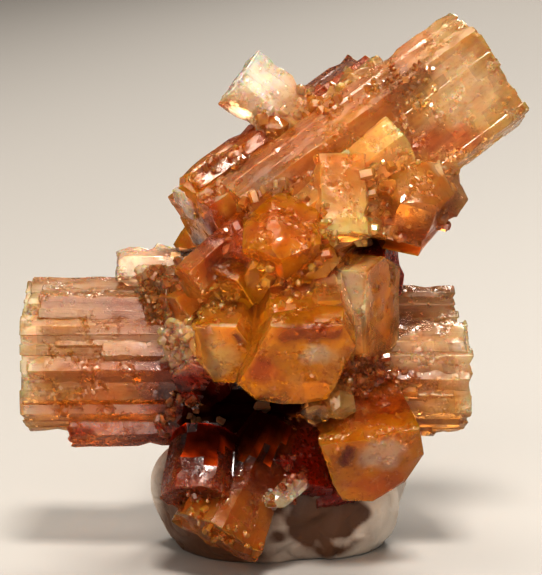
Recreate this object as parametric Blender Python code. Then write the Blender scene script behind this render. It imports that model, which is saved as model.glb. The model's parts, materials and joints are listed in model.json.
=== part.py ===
"""An aragonite sputnik cluster standing in a lump of mounting putty, as closed solids.

The origin is on the putty's flat underside, +Z is up and the show side looks towards -Y.
Every crystal is a straight prism on a six-sided section. The crystals radiate from a heart,
overlap there and are joined in one solid. Sizes are in millimetres until a mesh is written.
"""

import math
from typing import NamedTuple

import bmesh
import bpy
from mathutils import Matrix, Vector

MM = 0.001
OBJECT_NAME = "aragonite_sputnik_cluster"

# The heart, where all the crystals meet
HEART = Vector((1.4, 1.0, 23.5))
HEART_SIZE = (8.2, 8.0, 9.0)

# Small crystals that cover the heart between the arms
FILLER_COUNT = 84
FILLER_REACH = (10.2, 12.6)
FILLER_RADIUS = (1.5, 2.7)

# The putty: its middle, half widths at the belly, heights, how full its shoulders are, and the
# share of its lower half that is left above the flat foot
PUTTY_MIDDLE = (0.6, 2.6)
PUTTY_BELLY = (13.0, 10.2)
PUTTY_BELLY_HEIGHT = 6.2
PUTTY_TOP_HEIGHT = 11.4
PUTTY_FULLNESS = 0.55
PUTTY_CUT = 0.72
PUTTY_GAP = 0.3

# How much further a prism's corners move than its flats when it is grown for the gap
CORNER_GROWTH = 1.2


class Crystal(NamedTuple):
    """A prism: the middle of its end face, where its axis points, its length and its section.

    The azimuth runs from +X towards +Y and the climb up from the level, both in degrees. The
    section's corners are (side, up) offsets from the axis in mm. Root is the section's size at
    the inner end over its size at the end face.
    """

    end: tuple
    azimuth: float
    climb: float
    length: float
    section: tuple
    root: float = 1.0


def hexagon(radius, roll=0.0, ratio=1.0):
    """Corners of a six-sided section, the first one up, turned by roll degrees."""
    corners = []
    for step in range(6):
        angle = math.radians(roll + 60.0 * step)
        corners.append((-radius * ratio * math.sin(angle), radius * math.cos(angle)))
    return tuple(corners)


LEFT_ARM = (
    Crystal((-24.3, 0.2, 20.1), 176, -1, 26, hexagon(7.4, 0, 0.95)),
    Crystal((-24.6, -0.5, 16.7), 176, -1, 24, hexagon(4.4, 4, 1.15)),
    Crystal((-23.7, 0.0, 24.6), 176, -1, 22, hexagon(3.4, -8, 1.5)),
    Crystal((-20.2, -0.6, 13.2), 176, -2, 18, hexagon(2.5, 10, 1.3)),
    Crystal((-16.6, -5.7, 21.3), 176, -1, 12, hexagon(1.5, 20)),
    Crystal((-22.8, -2.6, 25.2), 176, 1, 18, hexagon(2.3, 12, 1.2)),
    Crystal((-24.0, 3.6, 21.2), 176, -1, 20, hexagon(4.6, 8)),
    Crystal((-21.6, 4.2, 15.0), 176, -1, 18, hexagon(3.4, -5)),
)

RIGHT_ARM = (
    Crystal((19.6, 0.0, 17.8), 5, -1, 20, hexagon(5.8, 0, 0.95)),
    Crystal((18.5, 4.6, 21.8), 5, -1, 19, hexagon(4.7, 6)),
    Crystal((19.2, -2.0, 20.7), 5, -1, 17, hexagon(2.8, 0, 1.1)),
    Crystal((16.6, 0.8, 13.3), 5, -1, 15, hexagon(1.9, 10, 1.4)),
    Crystal((17.4, 4.8, 16.2), 5, -1, 16, hexagon(4.2, -6)),
)

UPPER_ARM = (
    Crystal((21.5, 2.9, 48.5), 18, 34, 29,
            ((0, 7.1), (-4.9, 5.3), (-5.5, -4.5), (0, -6.9), (5.4, -4.3), (5.3, 4.2))),
    Crystal((18.9, 4.6, 51.6), 18, 34, 20, hexagon(2.6, 12)),
    Crystal((12.6, -3.4, 41.9), 14, 35, 16, hexagon(4.2, 14)),
    Crystal((-7.2, -3.0, 33.6), -154, -31, 24,
            ((0.5, 4.4), (-4.6, 2.6), (-4.8, -3.2), (0, -5.6), (4.6, -3.4), (4.8, 2.4))),
    Crystal((-6.5, 1.4, 36.5), -161, -34, 20, hexagon(2.5, 10)),
    Crystal((-8.7, -3.2, 35.4), -154, -31, 9, hexagon(1.9, 20)),
    Crystal((-5.0, 4.6, 34.6), -160, -33, 18, hexagon(4.4, -8)),
)

TOP_CRYSTALS = (
    Crystal((-3.3, 0.2, 47.9), 184, 38, 11,
            ((0.2, 3.4), (3.2, -0.2), (2.4, -2.0), (0.6, -3.4), (-2.8, -2.0), (-3.0, 1.6))),
    Crystal((-0.4, 2.4, 46.6), 170, 44, 9, hexagon(2.4, 15)),
    Crystal((4.6, -1.2, 45.4), -76, 52, 8, hexagon(2.1, 5)),
    Crystal((7.2, 0.2, 46.5), -69, 56, 8, hexagon(1.9, 28)),
    Crystal((9.2, 2.0, 48.0), -10, 60, 8, hexagon(1.8, 10)),
    Crystal((11.2, 3.0, 48.8), 18, 34, 8, hexagon(1.5, 20)),
    Crystal((0.6, -2.4, 44.4), -85, 50, 7, hexagon(1.7, 20)),
    Crystal((5.4, 7.2, 43.2), 64, 58, 12, hexagon(3.0, 8)),
)

FRONT_PRISM = (
    Crystal((2.5, -16.0, 21.3), -89, -26, 16,
            ((-2.6, 4.6), (4.4, 4.7), (5.6, 2.0), (2.9, -4.2), (-4.2, -4.6), (-5.8, -2.1))),
    Crystal((-4.7, -13.8, 22.1), -99, -22, 13,
            ((-2.6, 2.8), (1.6, 3.2), (3.2, 0.6), (1.8, -3.4), (-1.1, -3.3), (-2.7, -1.0))),
    Crystal((5.3, -13.6, 25.6), -82, -30, 11, hexagon(2.4, 25)),
    Crystal((0.3, -11.8, 28.6), -92, -24, 9, hexagon(3.6, 32)),
    Crystal((0.9, -12.6, 35.3), -99, 44, 12, hexagon(4.5, 5)),
    Crystal((-2.2, -11.4, 33.6), -112, 36, 11, hexagon(2.7, 10)),
    Crystal((3.7, -11.8, 31.5), -84, 10, 10, hexagon(3.1, 18)),
)

LEFT_FRONT = (
    Crystal((-8.0, -10.6, 28.5), -144, -33, 11, hexagon(2.3, 20, 0.95)),
    Crystal((-4.6, -10.4, 27.4), -120, -30, 11, hexagon(3.2, 14)),
    Crystal((-15.4, -2.4, 29.2), 180, 0, 13, hexagon(2.0, 12, 1.3)),
    Crystal((-12.0, -0.6, 29.8), 168, 14, 11, hexagon(1.7, 5)),
    Crystal((-11.6, -7.2, 26.6), -142, -12, 10, hexagon(2.6, 5)),
    Crystal((-9.8, -8.6, 25.4), -132, -20, 9, hexagon(2.2, 25)),
    Crystal((-13.0, -5.0, 25.2), -155, -8, 8, hexagon(1.6, 0)),
    Crystal((-9.0, -9.4, 22.4), -127, -6, 9, hexagon(2.6, 12)),
    Crystal((-6.9, -9.6, 18.4), -109, -38, 10, hexagon(3.1, 10)),
    Crystal((-10.6, -5.4, 15.4), -134, -6, 10, hexagon(2.9, 22)),
)

RIGHT_FRONT = (
    Crystal((11.0, -7.8, 25.8), -29, 0, 14,
            ((0, 5.2), (-3.6, 4.1), (-4.1, 0.4), (-3.4, -4.2), (0.6, -5.0), (3.4, -3.8), (3.6, 3.8))),
    Crystal((6.9, -9.4, 32.9), -82, -72, 8,
            ((-2.2, 2.0), (2.2, 2.0), (2.9, 0.2), (2.0, -2.2), (-2.0, -2.2), (-2.8, 0.1))),
    Crystal((14.6, -7.8, 38.4), -72, 44, 7.5, hexagon(3.7, 12)),
    Crystal((17.4, -5.2, 37.4), -40, 22, 10, hexagon(3.0, 0)),
    Crystal((11.2, -7.6, 34.6), -75, 12, 8, hexagon(1.9, 15)),
    Crystal((10.6, -6.2, 38.6), -80, 42, 8, hexagon(2.0, 5)),
    Crystal((8.8, -9.0, 19.6), -71, -15, 9, hexagon(2.9, 10)),
    Crystal((12.2, -3.6, 29.4), -20, 12, 10, hexagon(3.0, 5)),
    Crystal((6.9, -12.4, 16.7), -75, -18, 6, hexagon(1.7, 10)),
    Crystal((4.3, -11.8, 15.9), -100, -20, 6, hexagon(1.4, 25, 1.3)),
)

LOWER_CRYSTALS = (
    Crystal((9.8, -12.0, 10.7), -78, -33, 9.5,
            ((-5.6, 2.8), (-2.6, -4.9), (2.7, -4.2), (5.4, 1.0), (4.4, 4.6), (-1.3, 4.2)), 0.8),
    Crystal((10.6, -6.6, 15.0), -70, -12, 9, hexagon(3.2, 0)),
    Crystal((-7.0, -12.6, 7.6), -100, -57, 7, hexagon(4.2, 25, 0.95), 0.85),
    Crystal((-5.4, -11.4, 3.7), -138, -54, 13, hexagon(5.5, 8, 0.95), 0.5),
    Crystal((1.7, -11.6, 8.2), -60, 7, 6, ((2.5, 1.2), (0.6, 1.4), (-2.3, -0.2), (-2.4, -1.2),
                                          (-0.4, -1.3), (2.3, 0.2))),
    Crystal((2.6, -6.8, 6.2), -73, -52, 13, hexagon(4.1, 12)),
    Crystal((6.2, -5.6, 5.2), -60, -50, 12, hexagon(2.6, 0)),
    Crystal((0.4, -9.2, 9.4), -84, -30, 9, hexagon(2.5, 20)),
    Crystal((-2.4, 0.6, 12.0), -95, -60, 8, hexagon(3.4, 5)),
    Crystal((-5.4, 3.4, 4.6), 140, -68, 14, hexagon(3.6, 10)),
    Crystal((2.2, 3.0, 3.2), 80, -84, 16, hexagon(4.2, 0)),
    Crystal((7.8, 4.0, 5.0), 20, -66, 13, hexagon(3.4, 20)),
)

BACK_CRYSTALS = (
    Crystal((2.6, 18.6, 26.4), 86, 9, 17, hexagon(5.4, 5)),
    Crystal((-0.2, 17.2, 23.6), 88, 8, 15, hexagon(3.8, 12)),
    Crystal((5.8, 16.2, 28.4), 85, 10, 14, hexagon(3.1, -6)),
    Crystal((-6.2, 15.2, 33.4), 118, 30, 17, hexagon(3.9, 10)),
    Crystal((-7.6, 13.2, 30.2), 122, 28, 14, hexagon(3.0, 20)),
    Crystal((14.0, 13.4, 15.2), 44, -26, 15, hexagon(3.8, 0)),
    Crystal((12.4, 14.4, 17.6), 46, -25, 13, hexagon(2.7, 15)),
    Crystal((-12.2, 11.6, 14.4), 138, -27, 14, hexagon(3.5, 8)),
    Crystal((10.2, 13.6, 33.0), 54, 34, 14, hexagon(3.3, 12)),
    Crystal((0.6, 14.2, 14.4), 92, -38, 12, hexagon(3.2, 4)),
)

# Slender ribs grown along an arm's sides: the arm's main prism, the ribs' distance from its axis
# in mm, and each rib's turn from the top, radius and how far it stops short of the end
RIBS = (
    (LEFT_ARM[0], 5.3, ((32, 1.5, 1.3), (70, 1.3, 3.4), (97, 1.6, 0.5), (124, 1.3, 2.0),
                        (158, 1.5, 1.0), (206, 1.7, 1.7), (252, 1.6, 0.6), (286, 1.5, 2.3),
                        (326, 1.7, 1.2))),
    (RIGHT_ARM[0], 4.1, ((-38, 1.2, 0.9), (-84, 1.3, 0.4), (-108, 1.1, 1.6), (-148, 1.2, 0.7),
                         (164, 1.3, 1.5), (96, 1.4, 0.8))),
    (RIGHT_ARM[1], 3.3, ((-20, 1.2, 0.8), (30, 1.1, 1.5), (85, 1.2, 0.5))),
    (UPPER_ARM[0], 5.0, ((-8, 1.9, 1.2), (26, 1.6, 0.5), (-70, 1.2, 13.5), (68, 1.9, 0.8),
                         (112, 1.8, 1.9), (150, 1.7, 0.6), (196, 1.6, 1.4))),
    (UPPER_ARM[3], 3.9, ((18, 1.3, 0.9), (58, 1.4, 1.8), (-30, 1.3, 1.2), (100, 1.2, 0.5))),
    (BACK_CRYSTALS[0], 4.0, ((20, 1.4, 0.7), (84, 1.3, 1.5), (150, 1.5, 0.5), (212, 1.2, 1.2),
                             (275, 1.4, 0.8))),
)

ARMS = (LEFT_ARM, RIGHT_ARM, UPPER_ARM, TOP_CRYSTALS, FRONT_PRISM, LEFT_FRONT, RIGHT_FRONT,
        LOWER_CRYSTALS, BACK_CRYSTALS)


def clear_scene():
    """Remove every object and leave the file's settings alone."""
    for item in list(bpy.data.objects):
        bpy.data.objects.remove(item, do_unlink=True)


def new_collection(name):
    """Make a collection in the scene."""
    collection = bpy.data.collections.new(name)
    bpy.context.scene.collection.children.link(collection)
    return collection


def principled(name, colour, roughness):
    """Make a plain Principled material."""
    material = bpy.data.materials.new(name)
    material.use_nodes = True
    shader = material.node_tree.nodes["Principled BSDF"]
    shader.inputs["Base Color"].default_value = (*colour, 1.0)
    shader.inputs["Roughness"].default_value = roughness
    shader.inputs["Metallic"].default_value = 0.0
    return material


def add_object(name, mesh, collection):
    """Put a mesh in a collection as an object."""
    item = bpy.data.objects.new(name, mesh)
    collection.objects.link(item)
    return item


def mark_as_cutter(item):
    """Leave an object out of the finished model."""
    item.hide_render = True
    item.display_type = "WIRE"


def heading(azimuth, climb):
    """Unit vector of an axis from its azimuth and climb in degrees."""
    turn = math.radians(azimuth)
    lift = math.radians(climb)
    return Vector((math.cos(turn) * math.cos(lift), math.sin(turn) * math.cos(lift),
                   math.sin(lift)))


def angle_about_axis(point):
    """Angle of a section point about the prism's axis."""
    return math.atan2(point[1], point[0])


def axes(crystal):
    """Unit vectors of a crystal: to its side, up across it and along it."""
    along = heading(crystal.azimuth, crystal.climb)
    side = Vector((0.0, 0.0, 1.0)).cross(along).normalized()
    return side, along.cross(side), along


def rib_crystals():
    """Lay the ribs along their arms as thin prisms parallel to them."""
    ribs = []
    for arm, distance, places in RIBS:
        side, up, along = axes(arm)
        for turn, radius, setback in places:
            angle = math.radians(turn)
            out = side * math.sin(angle) + up * math.cos(angle)
            end = Vector(arm.end) + out * distance - along * setback
            length = max(4.0, arm.length - setback - 6.0)
            ribs.append(Crystal(tuple(end), arm.azimuth, arm.climb, length,
                                hexagon(radius, 7.0 * len(ribs))))
    return ribs


def prism_mesh(name, crystal, grow=0.0):
    """Make a crystal's prism, with every face moved out by grow mm."""
    side, up, axis = axes(crystal)
    corners = sorted(crystal.section, key=angle_about_axis)
    shell = bmesh.new()
    bmesh.ops.create_cone(shell, cap_ends=True, segments=len(corners), radius1=1.0, radius2=1.0,
                          depth=2.0)
    ends = ((1.0, grow, 1.0), (-1.0, -crystal.length - grow, crystal.root))
    for along, reach, size in ends:
        ring = [vert for vert in shell.verts if vert.co.z * along > 0.0]
        ring.sort(key=lambda vert: angle_about_axis(vert.co))
        for vert, corner in zip(ring, corners):
            widen = size + CORNER_GROWTH * grow / math.hypot(*corner)
            vert.co = (corner[0] * widen, corner[1] * widen, reach)
    frame = Matrix((side, up, axis)).transposed().to_4x4()
    place = Matrix.Translation(Vector(crystal.end))
    bmesh.ops.transform(shell, matrix=Matrix.Scale(MM, 4) @ place @ frame, verts=shell.verts)
    bmesh.ops.recalc_face_normals(shell, faces=shell.faces)
    mesh = bpy.data.meshes.new(name)
    shell.to_mesh(mesh)
    shell.free()
    return mesh


def heart_mesh(grow=0.0):
    """Make the lump in which the crystals meet."""
    lump = bmesh.new()
    bmesh.ops.create_icosphere(lump, subdivisions=2, radius=1.0)
    for vert in lump.verts:
        vert.co = [(HEART[i] + vert.co[i] * (HEART_SIZE[i] + grow)) * MM for i in range(3)]
    mesh = bpy.data.meshes.new("heart")
    lump.to_mesh(mesh)
    lump.free()
    return mesh


def filler_crystals():
    """Spread small prisms evenly round the heart on a spiral from pole to pole."""
    golden = math.pi * (3.0 - math.sqrt(5.0))
    fillers = []
    for index in range(FILLER_COUNT):
        height = 1.0 - 2.0 * (index + 0.5) / FILLER_COUNT
        azimuth = math.degrees(index * golden)
        climb = math.degrees(math.asin(height))
        wave = 0.5 + 0.5 * math.sin(2.4 * index)
        other = 0.5 + 0.5 * math.sin(5.1 * index + 1.0)
        reach = FILLER_REACH[0] + (FILLER_REACH[1] - FILLER_REACH[0]) * wave
        radius = FILLER_RADIUS[0] + (FILLER_RADIUS[1] - FILLER_RADIUS[0]) * other
        end = HEART + heading(azimuth, climb) * reach
        lean = 14.0 * math.sin(3.7 * index)
        fillers.append(Crystal(tuple(end), azimuth + lean, climb + 0.6 * lean, 6.5,
                               hexagon(radius, 25.0 * index, 0.9)))
    return tuple(fillers)


def joined_crystals(name, crystals, shapes, grow=0.0):
    """Join the heart and the crystals in one closed mesh, with no hollow left inside."""
    for index, crystal in enumerate(crystals):
        item = add_object(f"{name}_{index:03d}", prism_mesh(name, crystal, grow), shapes)
        mark_as_cutter(item)
    base = add_object(name, heart_mesh(grow), bpy.context.scene.collection)
    union = base.modifiers.new("join", "BOOLEAN")
    union.operation = "UNION"
    union.operand_type = "COLLECTION"
    union.collection = shapes
    union.solver = "EXACT"
    mesh = evaluated_mesh(base)
    bpy.data.objects.remove(base)
    for item in list(shapes.objects):
        bpy.data.objects.remove(item)
    keep_outer_body(mesh)
    return mesh


def evaluated_mesh(item):
    """Copy an object's mesh as its modifiers leave it."""
    graph = bpy.context.evaluated_depsgraph_get()
    graph.update()
    return bpy.data.meshes.new_from_object(item.evaluated_get(graph))


def keep_outer_body(mesh):
    """Delete every loose piece of a mesh but the one with the most corners."""
    shell = bmesh.new()
    shell.from_mesh(mesh)
    unseen = set(shell.verts)
    bodies = []
    while unseen:
        start = unseen.pop()
        body = {start}
        front = [start]
        while front:
            vert = front.pop()
            for edge in vert.link_edges:
                other = edge.other_vert(vert)
                if other in unseen:
                    unseen.remove(other)
                    body.add(other)
                    front.append(other)
        bodies.append(body)
    bodies.sort(key=len)
    for body in bodies[:-1]:
        bmesh.ops.delete(shell, geom=list(body), context="VERTS")
    shell.to_mesh(mesh)
    shell.free()


def putty_mesh():
    """Make the putty lump: round shoulders, a belly and a flat foot where it is cut off level."""
    lump = bmesh.new()
    bmesh.ops.create_icosphere(lump, subdivisions=4, radius=1.0)
    for vert in lump.verts:
        x, y, z = vert.co
        turn = math.atan2(y, x)
        spread = math.hypot(x, y) ** PUTTY_FULLNESS
        wobble = 1.0 + 0.035 * math.sin(3.0 * turn + 0.7) + 0.02 * math.sin(5.0 * turn + z)
        rise = PUTTY_TOP_HEIGHT - PUTTY_BELLY_HEIGHT if z > 0.0 else PUTTY_BELLY_HEIGHT / PUTTY_CUT
        vert.co = (
            (PUTTY_MIDDLE[0] + PUTTY_BELLY[0] * math.cos(turn) * spread * wobble) * MM,
            (PUTTY_MIDDLE[1] + PUTTY_BELLY[1] * math.sin(turn) * spread * wobble) * MM,
            (PUTTY_BELLY_HEIGHT + rise * z) * MM,
        )
    whole = lump.verts[:] + lump.edges[:] + lump.faces[:]
    bmesh.ops.bisect_plane(lump, geom=whole, plane_co=(0, 0, 0), plane_no=(0, 0, 1),
                           clear_inner=True)
    bmesh.ops.holes_fill(lump, edges=lump.edges, sides=0)
    bmesh.ops.recalc_face_normals(lump, faces=lump.faces)
    mesh = bpy.data.meshes.new("putty")
    lump.to_mesh(mesh)
    lump.free()
    return mesh


def build():
    """Build the two pieces."""
    clear_scene()
    parts = new_collection(OBJECT_NAME)
    shapes = new_collection("cutters")
    crystals = [crystal for arm in ARMS for crystal in arm]
    crystals.extend(rib_crystals())
    crystals.extend(filler_crystals())
    cluster = add_object("aragonite_cluster", joined_crystals("crystal", crystals, shapes), parts)
    cluster.data.materials.clear()
    cluster.data.materials.append(principled("aragonite", (0.72, 0.30, 0.08), 0.25))

    putty = add_object("mounting_putty", putty_mesh(), parts)
    putty.data.materials.append(principled("putty", (0.55, 0.56, 0.54), 0.6))
    low = [crystal for crystal in crystals if crystal.end[2] < PUTTY_TOP_HEIGHT + 6.0]
    cutter = add_object("crystal_bed", joined_crystals("bed", low, shapes, PUTTY_GAP), shapes)
    mark_as_cutter(cutter)
    cut = putty.modifiers.new("bed", "BOOLEAN")
    cut.operation = "DIFFERENCE"
    cut.object = cutter
    cut.solver = "EXACT"
    mesh = evaluated_mesh(putty)
    putty.modifiers.clear()
    putty.data = mesh
    keep_outer_body(putty.data)


build()
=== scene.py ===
"""Looks of an aragonite sputnik cluster that stands in a lump of mounting putty.

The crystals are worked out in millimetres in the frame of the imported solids, +Z up with the
origin on the putty's flat underside, and are turned to metres when their mesh is written.
"""

import json
import logging
import math
from dataclasses import dataclass, field
from enum import Enum, IntEnum
from typing import NamedTuple

import bmesh
import bpy
import numpy as np
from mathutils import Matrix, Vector
from mathutils.geometry import delaunay_2d_cdt

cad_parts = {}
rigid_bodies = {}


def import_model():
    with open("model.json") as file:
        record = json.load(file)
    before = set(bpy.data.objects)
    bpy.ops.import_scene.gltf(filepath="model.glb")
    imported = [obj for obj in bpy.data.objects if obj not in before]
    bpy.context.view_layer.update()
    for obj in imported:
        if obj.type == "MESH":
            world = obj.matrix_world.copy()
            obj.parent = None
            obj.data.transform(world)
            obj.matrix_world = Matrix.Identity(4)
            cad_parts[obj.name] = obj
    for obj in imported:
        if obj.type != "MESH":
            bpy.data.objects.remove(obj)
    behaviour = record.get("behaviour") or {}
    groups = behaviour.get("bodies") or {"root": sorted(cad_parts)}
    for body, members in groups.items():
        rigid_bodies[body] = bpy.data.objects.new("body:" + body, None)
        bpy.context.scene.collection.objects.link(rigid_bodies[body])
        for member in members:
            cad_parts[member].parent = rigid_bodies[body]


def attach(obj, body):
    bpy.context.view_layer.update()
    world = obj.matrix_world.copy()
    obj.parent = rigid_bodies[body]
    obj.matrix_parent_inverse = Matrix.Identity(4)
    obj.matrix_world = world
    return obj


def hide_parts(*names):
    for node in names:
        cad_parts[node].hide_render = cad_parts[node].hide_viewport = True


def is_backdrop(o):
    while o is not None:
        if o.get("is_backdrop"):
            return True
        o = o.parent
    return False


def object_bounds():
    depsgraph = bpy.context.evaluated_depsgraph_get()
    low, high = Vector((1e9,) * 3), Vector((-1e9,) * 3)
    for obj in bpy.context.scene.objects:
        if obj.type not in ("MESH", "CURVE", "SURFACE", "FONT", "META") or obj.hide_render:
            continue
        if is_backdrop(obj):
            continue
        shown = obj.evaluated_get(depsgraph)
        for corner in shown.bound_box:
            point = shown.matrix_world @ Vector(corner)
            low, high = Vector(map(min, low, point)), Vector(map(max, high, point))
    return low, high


MM = 0.001
LOG = logging.getLogger("sputnik_cluster")

Array = np.ndarray
Colour = tuple[float, float, float]
Point = tuple[float, float, float]

# The camera: how far it stands from the point it looks at, how steeply it looks down, and the
# focal length for a 36 mm sensor along the picture's long side
CAMERA_DISTANCE = 0.3
CAMERA_TILT = 8.0
CAMERA_FOCUS = (0.0, 0.0, 0.0268)
CAMERA_LENS = 187.8
SENSOR_WIDTH = 36.0

# The heart, where all the crystals meet, in mm
HEART = (1.4, 1.0, 23.5)
HEART_SIZE = (8.2, 8.0, 9.0)

# Neighbouring faces that meet at a sharper turn than this, in degrees, show an edge
EDGE_TURN = 22.0

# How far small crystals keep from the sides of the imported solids' box, in mm
BOX_MARGIN = 0.05

# The picture's contrast and brightness
VIEW_GAMMA = 0.74
VIEW_EXPOSURE = 0.25


class Part(IntEnum):
    """The part of a crystal that a face belongs to."""

    FLANK = 0
    END = 1
    CRUST = 2


class Look(IntEnum):
    """The crystals' finishes, in the order of the mesh's materials."""

    HONEY = 0
    BANDED = 1
    DARK = 2
    CRUST = 3
    PALE = 4
    # Flat black, no transmission or reflection: painted shade for the deep cavities
    PAINTED_SHADE = 5


class Palette(NamedTuple):
    """Linear colours of one kind of crystal: at its free end and at its root."""

    tip: Colour
    root: Colour


class Tone(Enum):
    """The colours that the crystals of the cluster come in."""

    AMBER = Palette((0.86, 0.360, 0.008), (0.46, 0.095, 0.003))
    TAWNY = Palette((0.57, 0.275, 0.045), (0.44, 0.130, 0.012))
    EMBER = Palette((0.52, 0.080, 0.003), (0.30, 0.022, 0.002))
    HONEY = Palette((0.72, 0.310, 0.040), (0.48, 0.110, 0.008))
    PEACH = Palette((0.92, 0.640, 0.250), (0.74, 0.360, 0.090))
    ROSE = Palette((0.62, 0.360, 0.160), (0.42, 0.150, 0.050))
    STRAW = Palette((0.76, 0.500, 0.190), (0.66, 0.270, 0.045))
    CHALK = Palette((0.90, 0.780, 0.640), (0.74, 0.460, 0.240))
    OLIVE = Palette((0.40, 0.180, 0.040), (0.22, 0.070, 0.010))
    COPPER = Palette((0.86, 0.320, 0.030), (0.40, 0.070, 0.005))
    RUST = Palette((0.42, 0.085, 0.006), (0.20, 0.022, 0.002))
    RED = Palette((0.46, 0.020, 0.002), (0.15, 0.005, 0.001))
    # Near black: painted shade for a crystal deep in the dark cavity
    DARK = Palette((0.03, 0.003, 0.001), (0.008, 0.001, 0.0005))
    GREY = Palette((0.86, 0.660, 0.480), (0.50, 0.300, 0.160))


DARK_TONES = {Tone.RED, Tone.RUST, Tone.DARK, Tone.OLIVE}
PALE_TONES = {Tone.CHALK, Tone.PEACH, Tone.GREY}


class Carving(NamedTuple):
    """How a crystal's faces are carved, in mm.

    Strip is the width of a lengthwise strip and step how deep strips are set in. Chip is how
    deep the edges are chipped, ragged how unevenly the strips stop short of the end and mosaic
    how uneven the end face is. Ring is the spacing of the mesh along the crystal and grid its
    spacing on the end face. Tilt is the slope of the end face's terraces, and streaks how
    strongly the flanks are streaked lengthwise.
    """

    strip: float
    step: float
    chip: float
    ragged: float
    mosaic: float
    ring: float
    grid: float
    tilt: float
    streaks: float


class Habit(Enum):
    """The ways in which crystals of the cluster are carved."""

    STRIATED = Carving(0.90, 0.17, 0.30, 0.35, 0.40, 1.2, 0.7, 0.03, 0.9)
    BLOCKY = Carving(1.50, 0.14, 0.40, 0.20, 0.30, 0.9, 0.7, 0.08, 0.35)
    GLASSY = Carving(2.60, 0.06, 0.40, 0.05, 0.05, 0.8, 0.55, 0.03, 0.15)
    SMALL = Carving(0.90, 0.12, 0.20, 0.15, 0.16, 1.0, 0.6, 0.08, 0.35)


@dataclass(frozen=True)
class Crystal:
    """A prism: the middle of its end face, its heading, length and section, and its looks.

    The azimuth runs from +X towards +Y and the climb up from the level, both in degrees. The
    section's corners are (side, up) offsets from the axis in mm. Root is the section's size at
    the inner end over its size at the end face. Crown is the share of the end face that its
    sloping border takes and how far that border falls away, in mm.
    """

    end: Point
    azimuth: float
    climb: float
    length: float
    section: tuple[tuple[float, float], ...]
    tone: Tone = Tone.AMBER
    habit: Habit = Habit.SMALL
    root: float = 1.0
    crown: tuple[float, float] = (0.0, 0.0)

    def axes(self) -> Array:
        """Work out the crystal's own frame.

        Returns:
            Unit vectors to its side, up across it and along it, as rows.
        """
        turn = math.radians(self.azimuth)
        lift = math.radians(self.climb)
        along = np.array([math.cos(turn) * math.cos(lift), math.sin(turn) * math.cos(lift),
                          math.sin(lift)])
        side = np.cross([0.0, 0.0, 1.0], along)
        side /= np.linalg.norm(side)
        return np.stack([side, np.cross(along, side), along])

    def corners(self) -> Array:
        """Return the section's corners in counter-clockwise order."""
        points = np.array(self.section, dtype=float)
        return points[np.argsort(np.arctan2(points[:, 1], points[:, 0]))]

    def radius(self) -> float:
        """Return the mean distance of the corners from the axis."""
        return float(np.linalg.norm(self.corners(), axis=1).mean())


def hexagon(radius: float, roll: float = 0.0, ratio: float = 1.0) -> tuple:
    """Corners of a six-sided section, the first one up, turned by roll degrees.

    Args:
        radius: The corners' distance from the axis in mm.
        roll: The turn in degrees.
        ratio: The width over the height.

    Returns:
        The (side, up) offsets of the corners.
    """
    turns = np.radians(roll + 60.0 * np.arange(6))
    return tuple(zip((-radius * ratio * np.sin(turns)).tolist(),
                     (radius * np.cos(turns)).tolist()))


LEFT_ARM = (
    Crystal((-24.3, 0.2, 20.1), 176, -1, 26, hexagon(7.4, 0, 0.95), Tone.TAWNY, Habit.STRIATED),
    Crystal((-24.6, -0.5, 16.7), 176, -1, 24, hexagon(4.4, 4, 1.15), Tone.TAWNY, Habit.STRIATED),
    Crystal((-23.7, 0.0, 24.6), 176, -1, 22, hexagon(3.4, -8, 1.5), Tone.ROSE, Habit.STRIATED),
    Crystal((-20.2, -0.6, 13.2), 176, -2, 18, hexagon(2.5, 10, 1.3), Tone.RUST, Habit.STRIATED),
    Crystal((-16.6, -5.7, 21.3), 176, -1, 12, hexagon(1.5, 20), Tone.ROSE, Habit.STRIATED),
    Crystal((-22.8, -2.6, 25.2), 176, 1, 18, hexagon(2.3, 12, 1.2), Tone.ROSE, Habit.STRIATED),
    Crystal((-24.0, 3.6, 21.2), 176, -1, 20, hexagon(4.6, 8), Tone.TAWNY, Habit.STRIATED),
    Crystal((-21.6, 4.2, 15.0), 176, -1, 18, hexagon(3.4, -5), Tone.TAWNY, Habit.STRIATED),
)

RIGHT_ARM = (
    Crystal((19.6, 0.0, 17.8), 5, -1, 20, hexagon(5.8, 0, 0.95), Tone.TAWNY, Habit.STRIATED),
    Crystal((18.5, 4.6, 21.8), 5, -1, 19, hexagon(4.7, 6), Tone.ROSE, Habit.STRIATED),
    Crystal((19.2, -2.0, 20.7), 5, -1, 17, hexagon(2.8, 0, 1.1), Tone.ROSE, Habit.STRIATED),
    Crystal((16.6, 0.8, 13.3), 5, -1, 15, hexagon(1.9, 10, 1.4), Tone.TAWNY, Habit.STRIATED),
    Crystal((17.4, 4.8, 16.2), 5, -1, 16, hexagon(4.2, -6), Tone.TAWNY, Habit.STRIATED),
)

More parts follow.
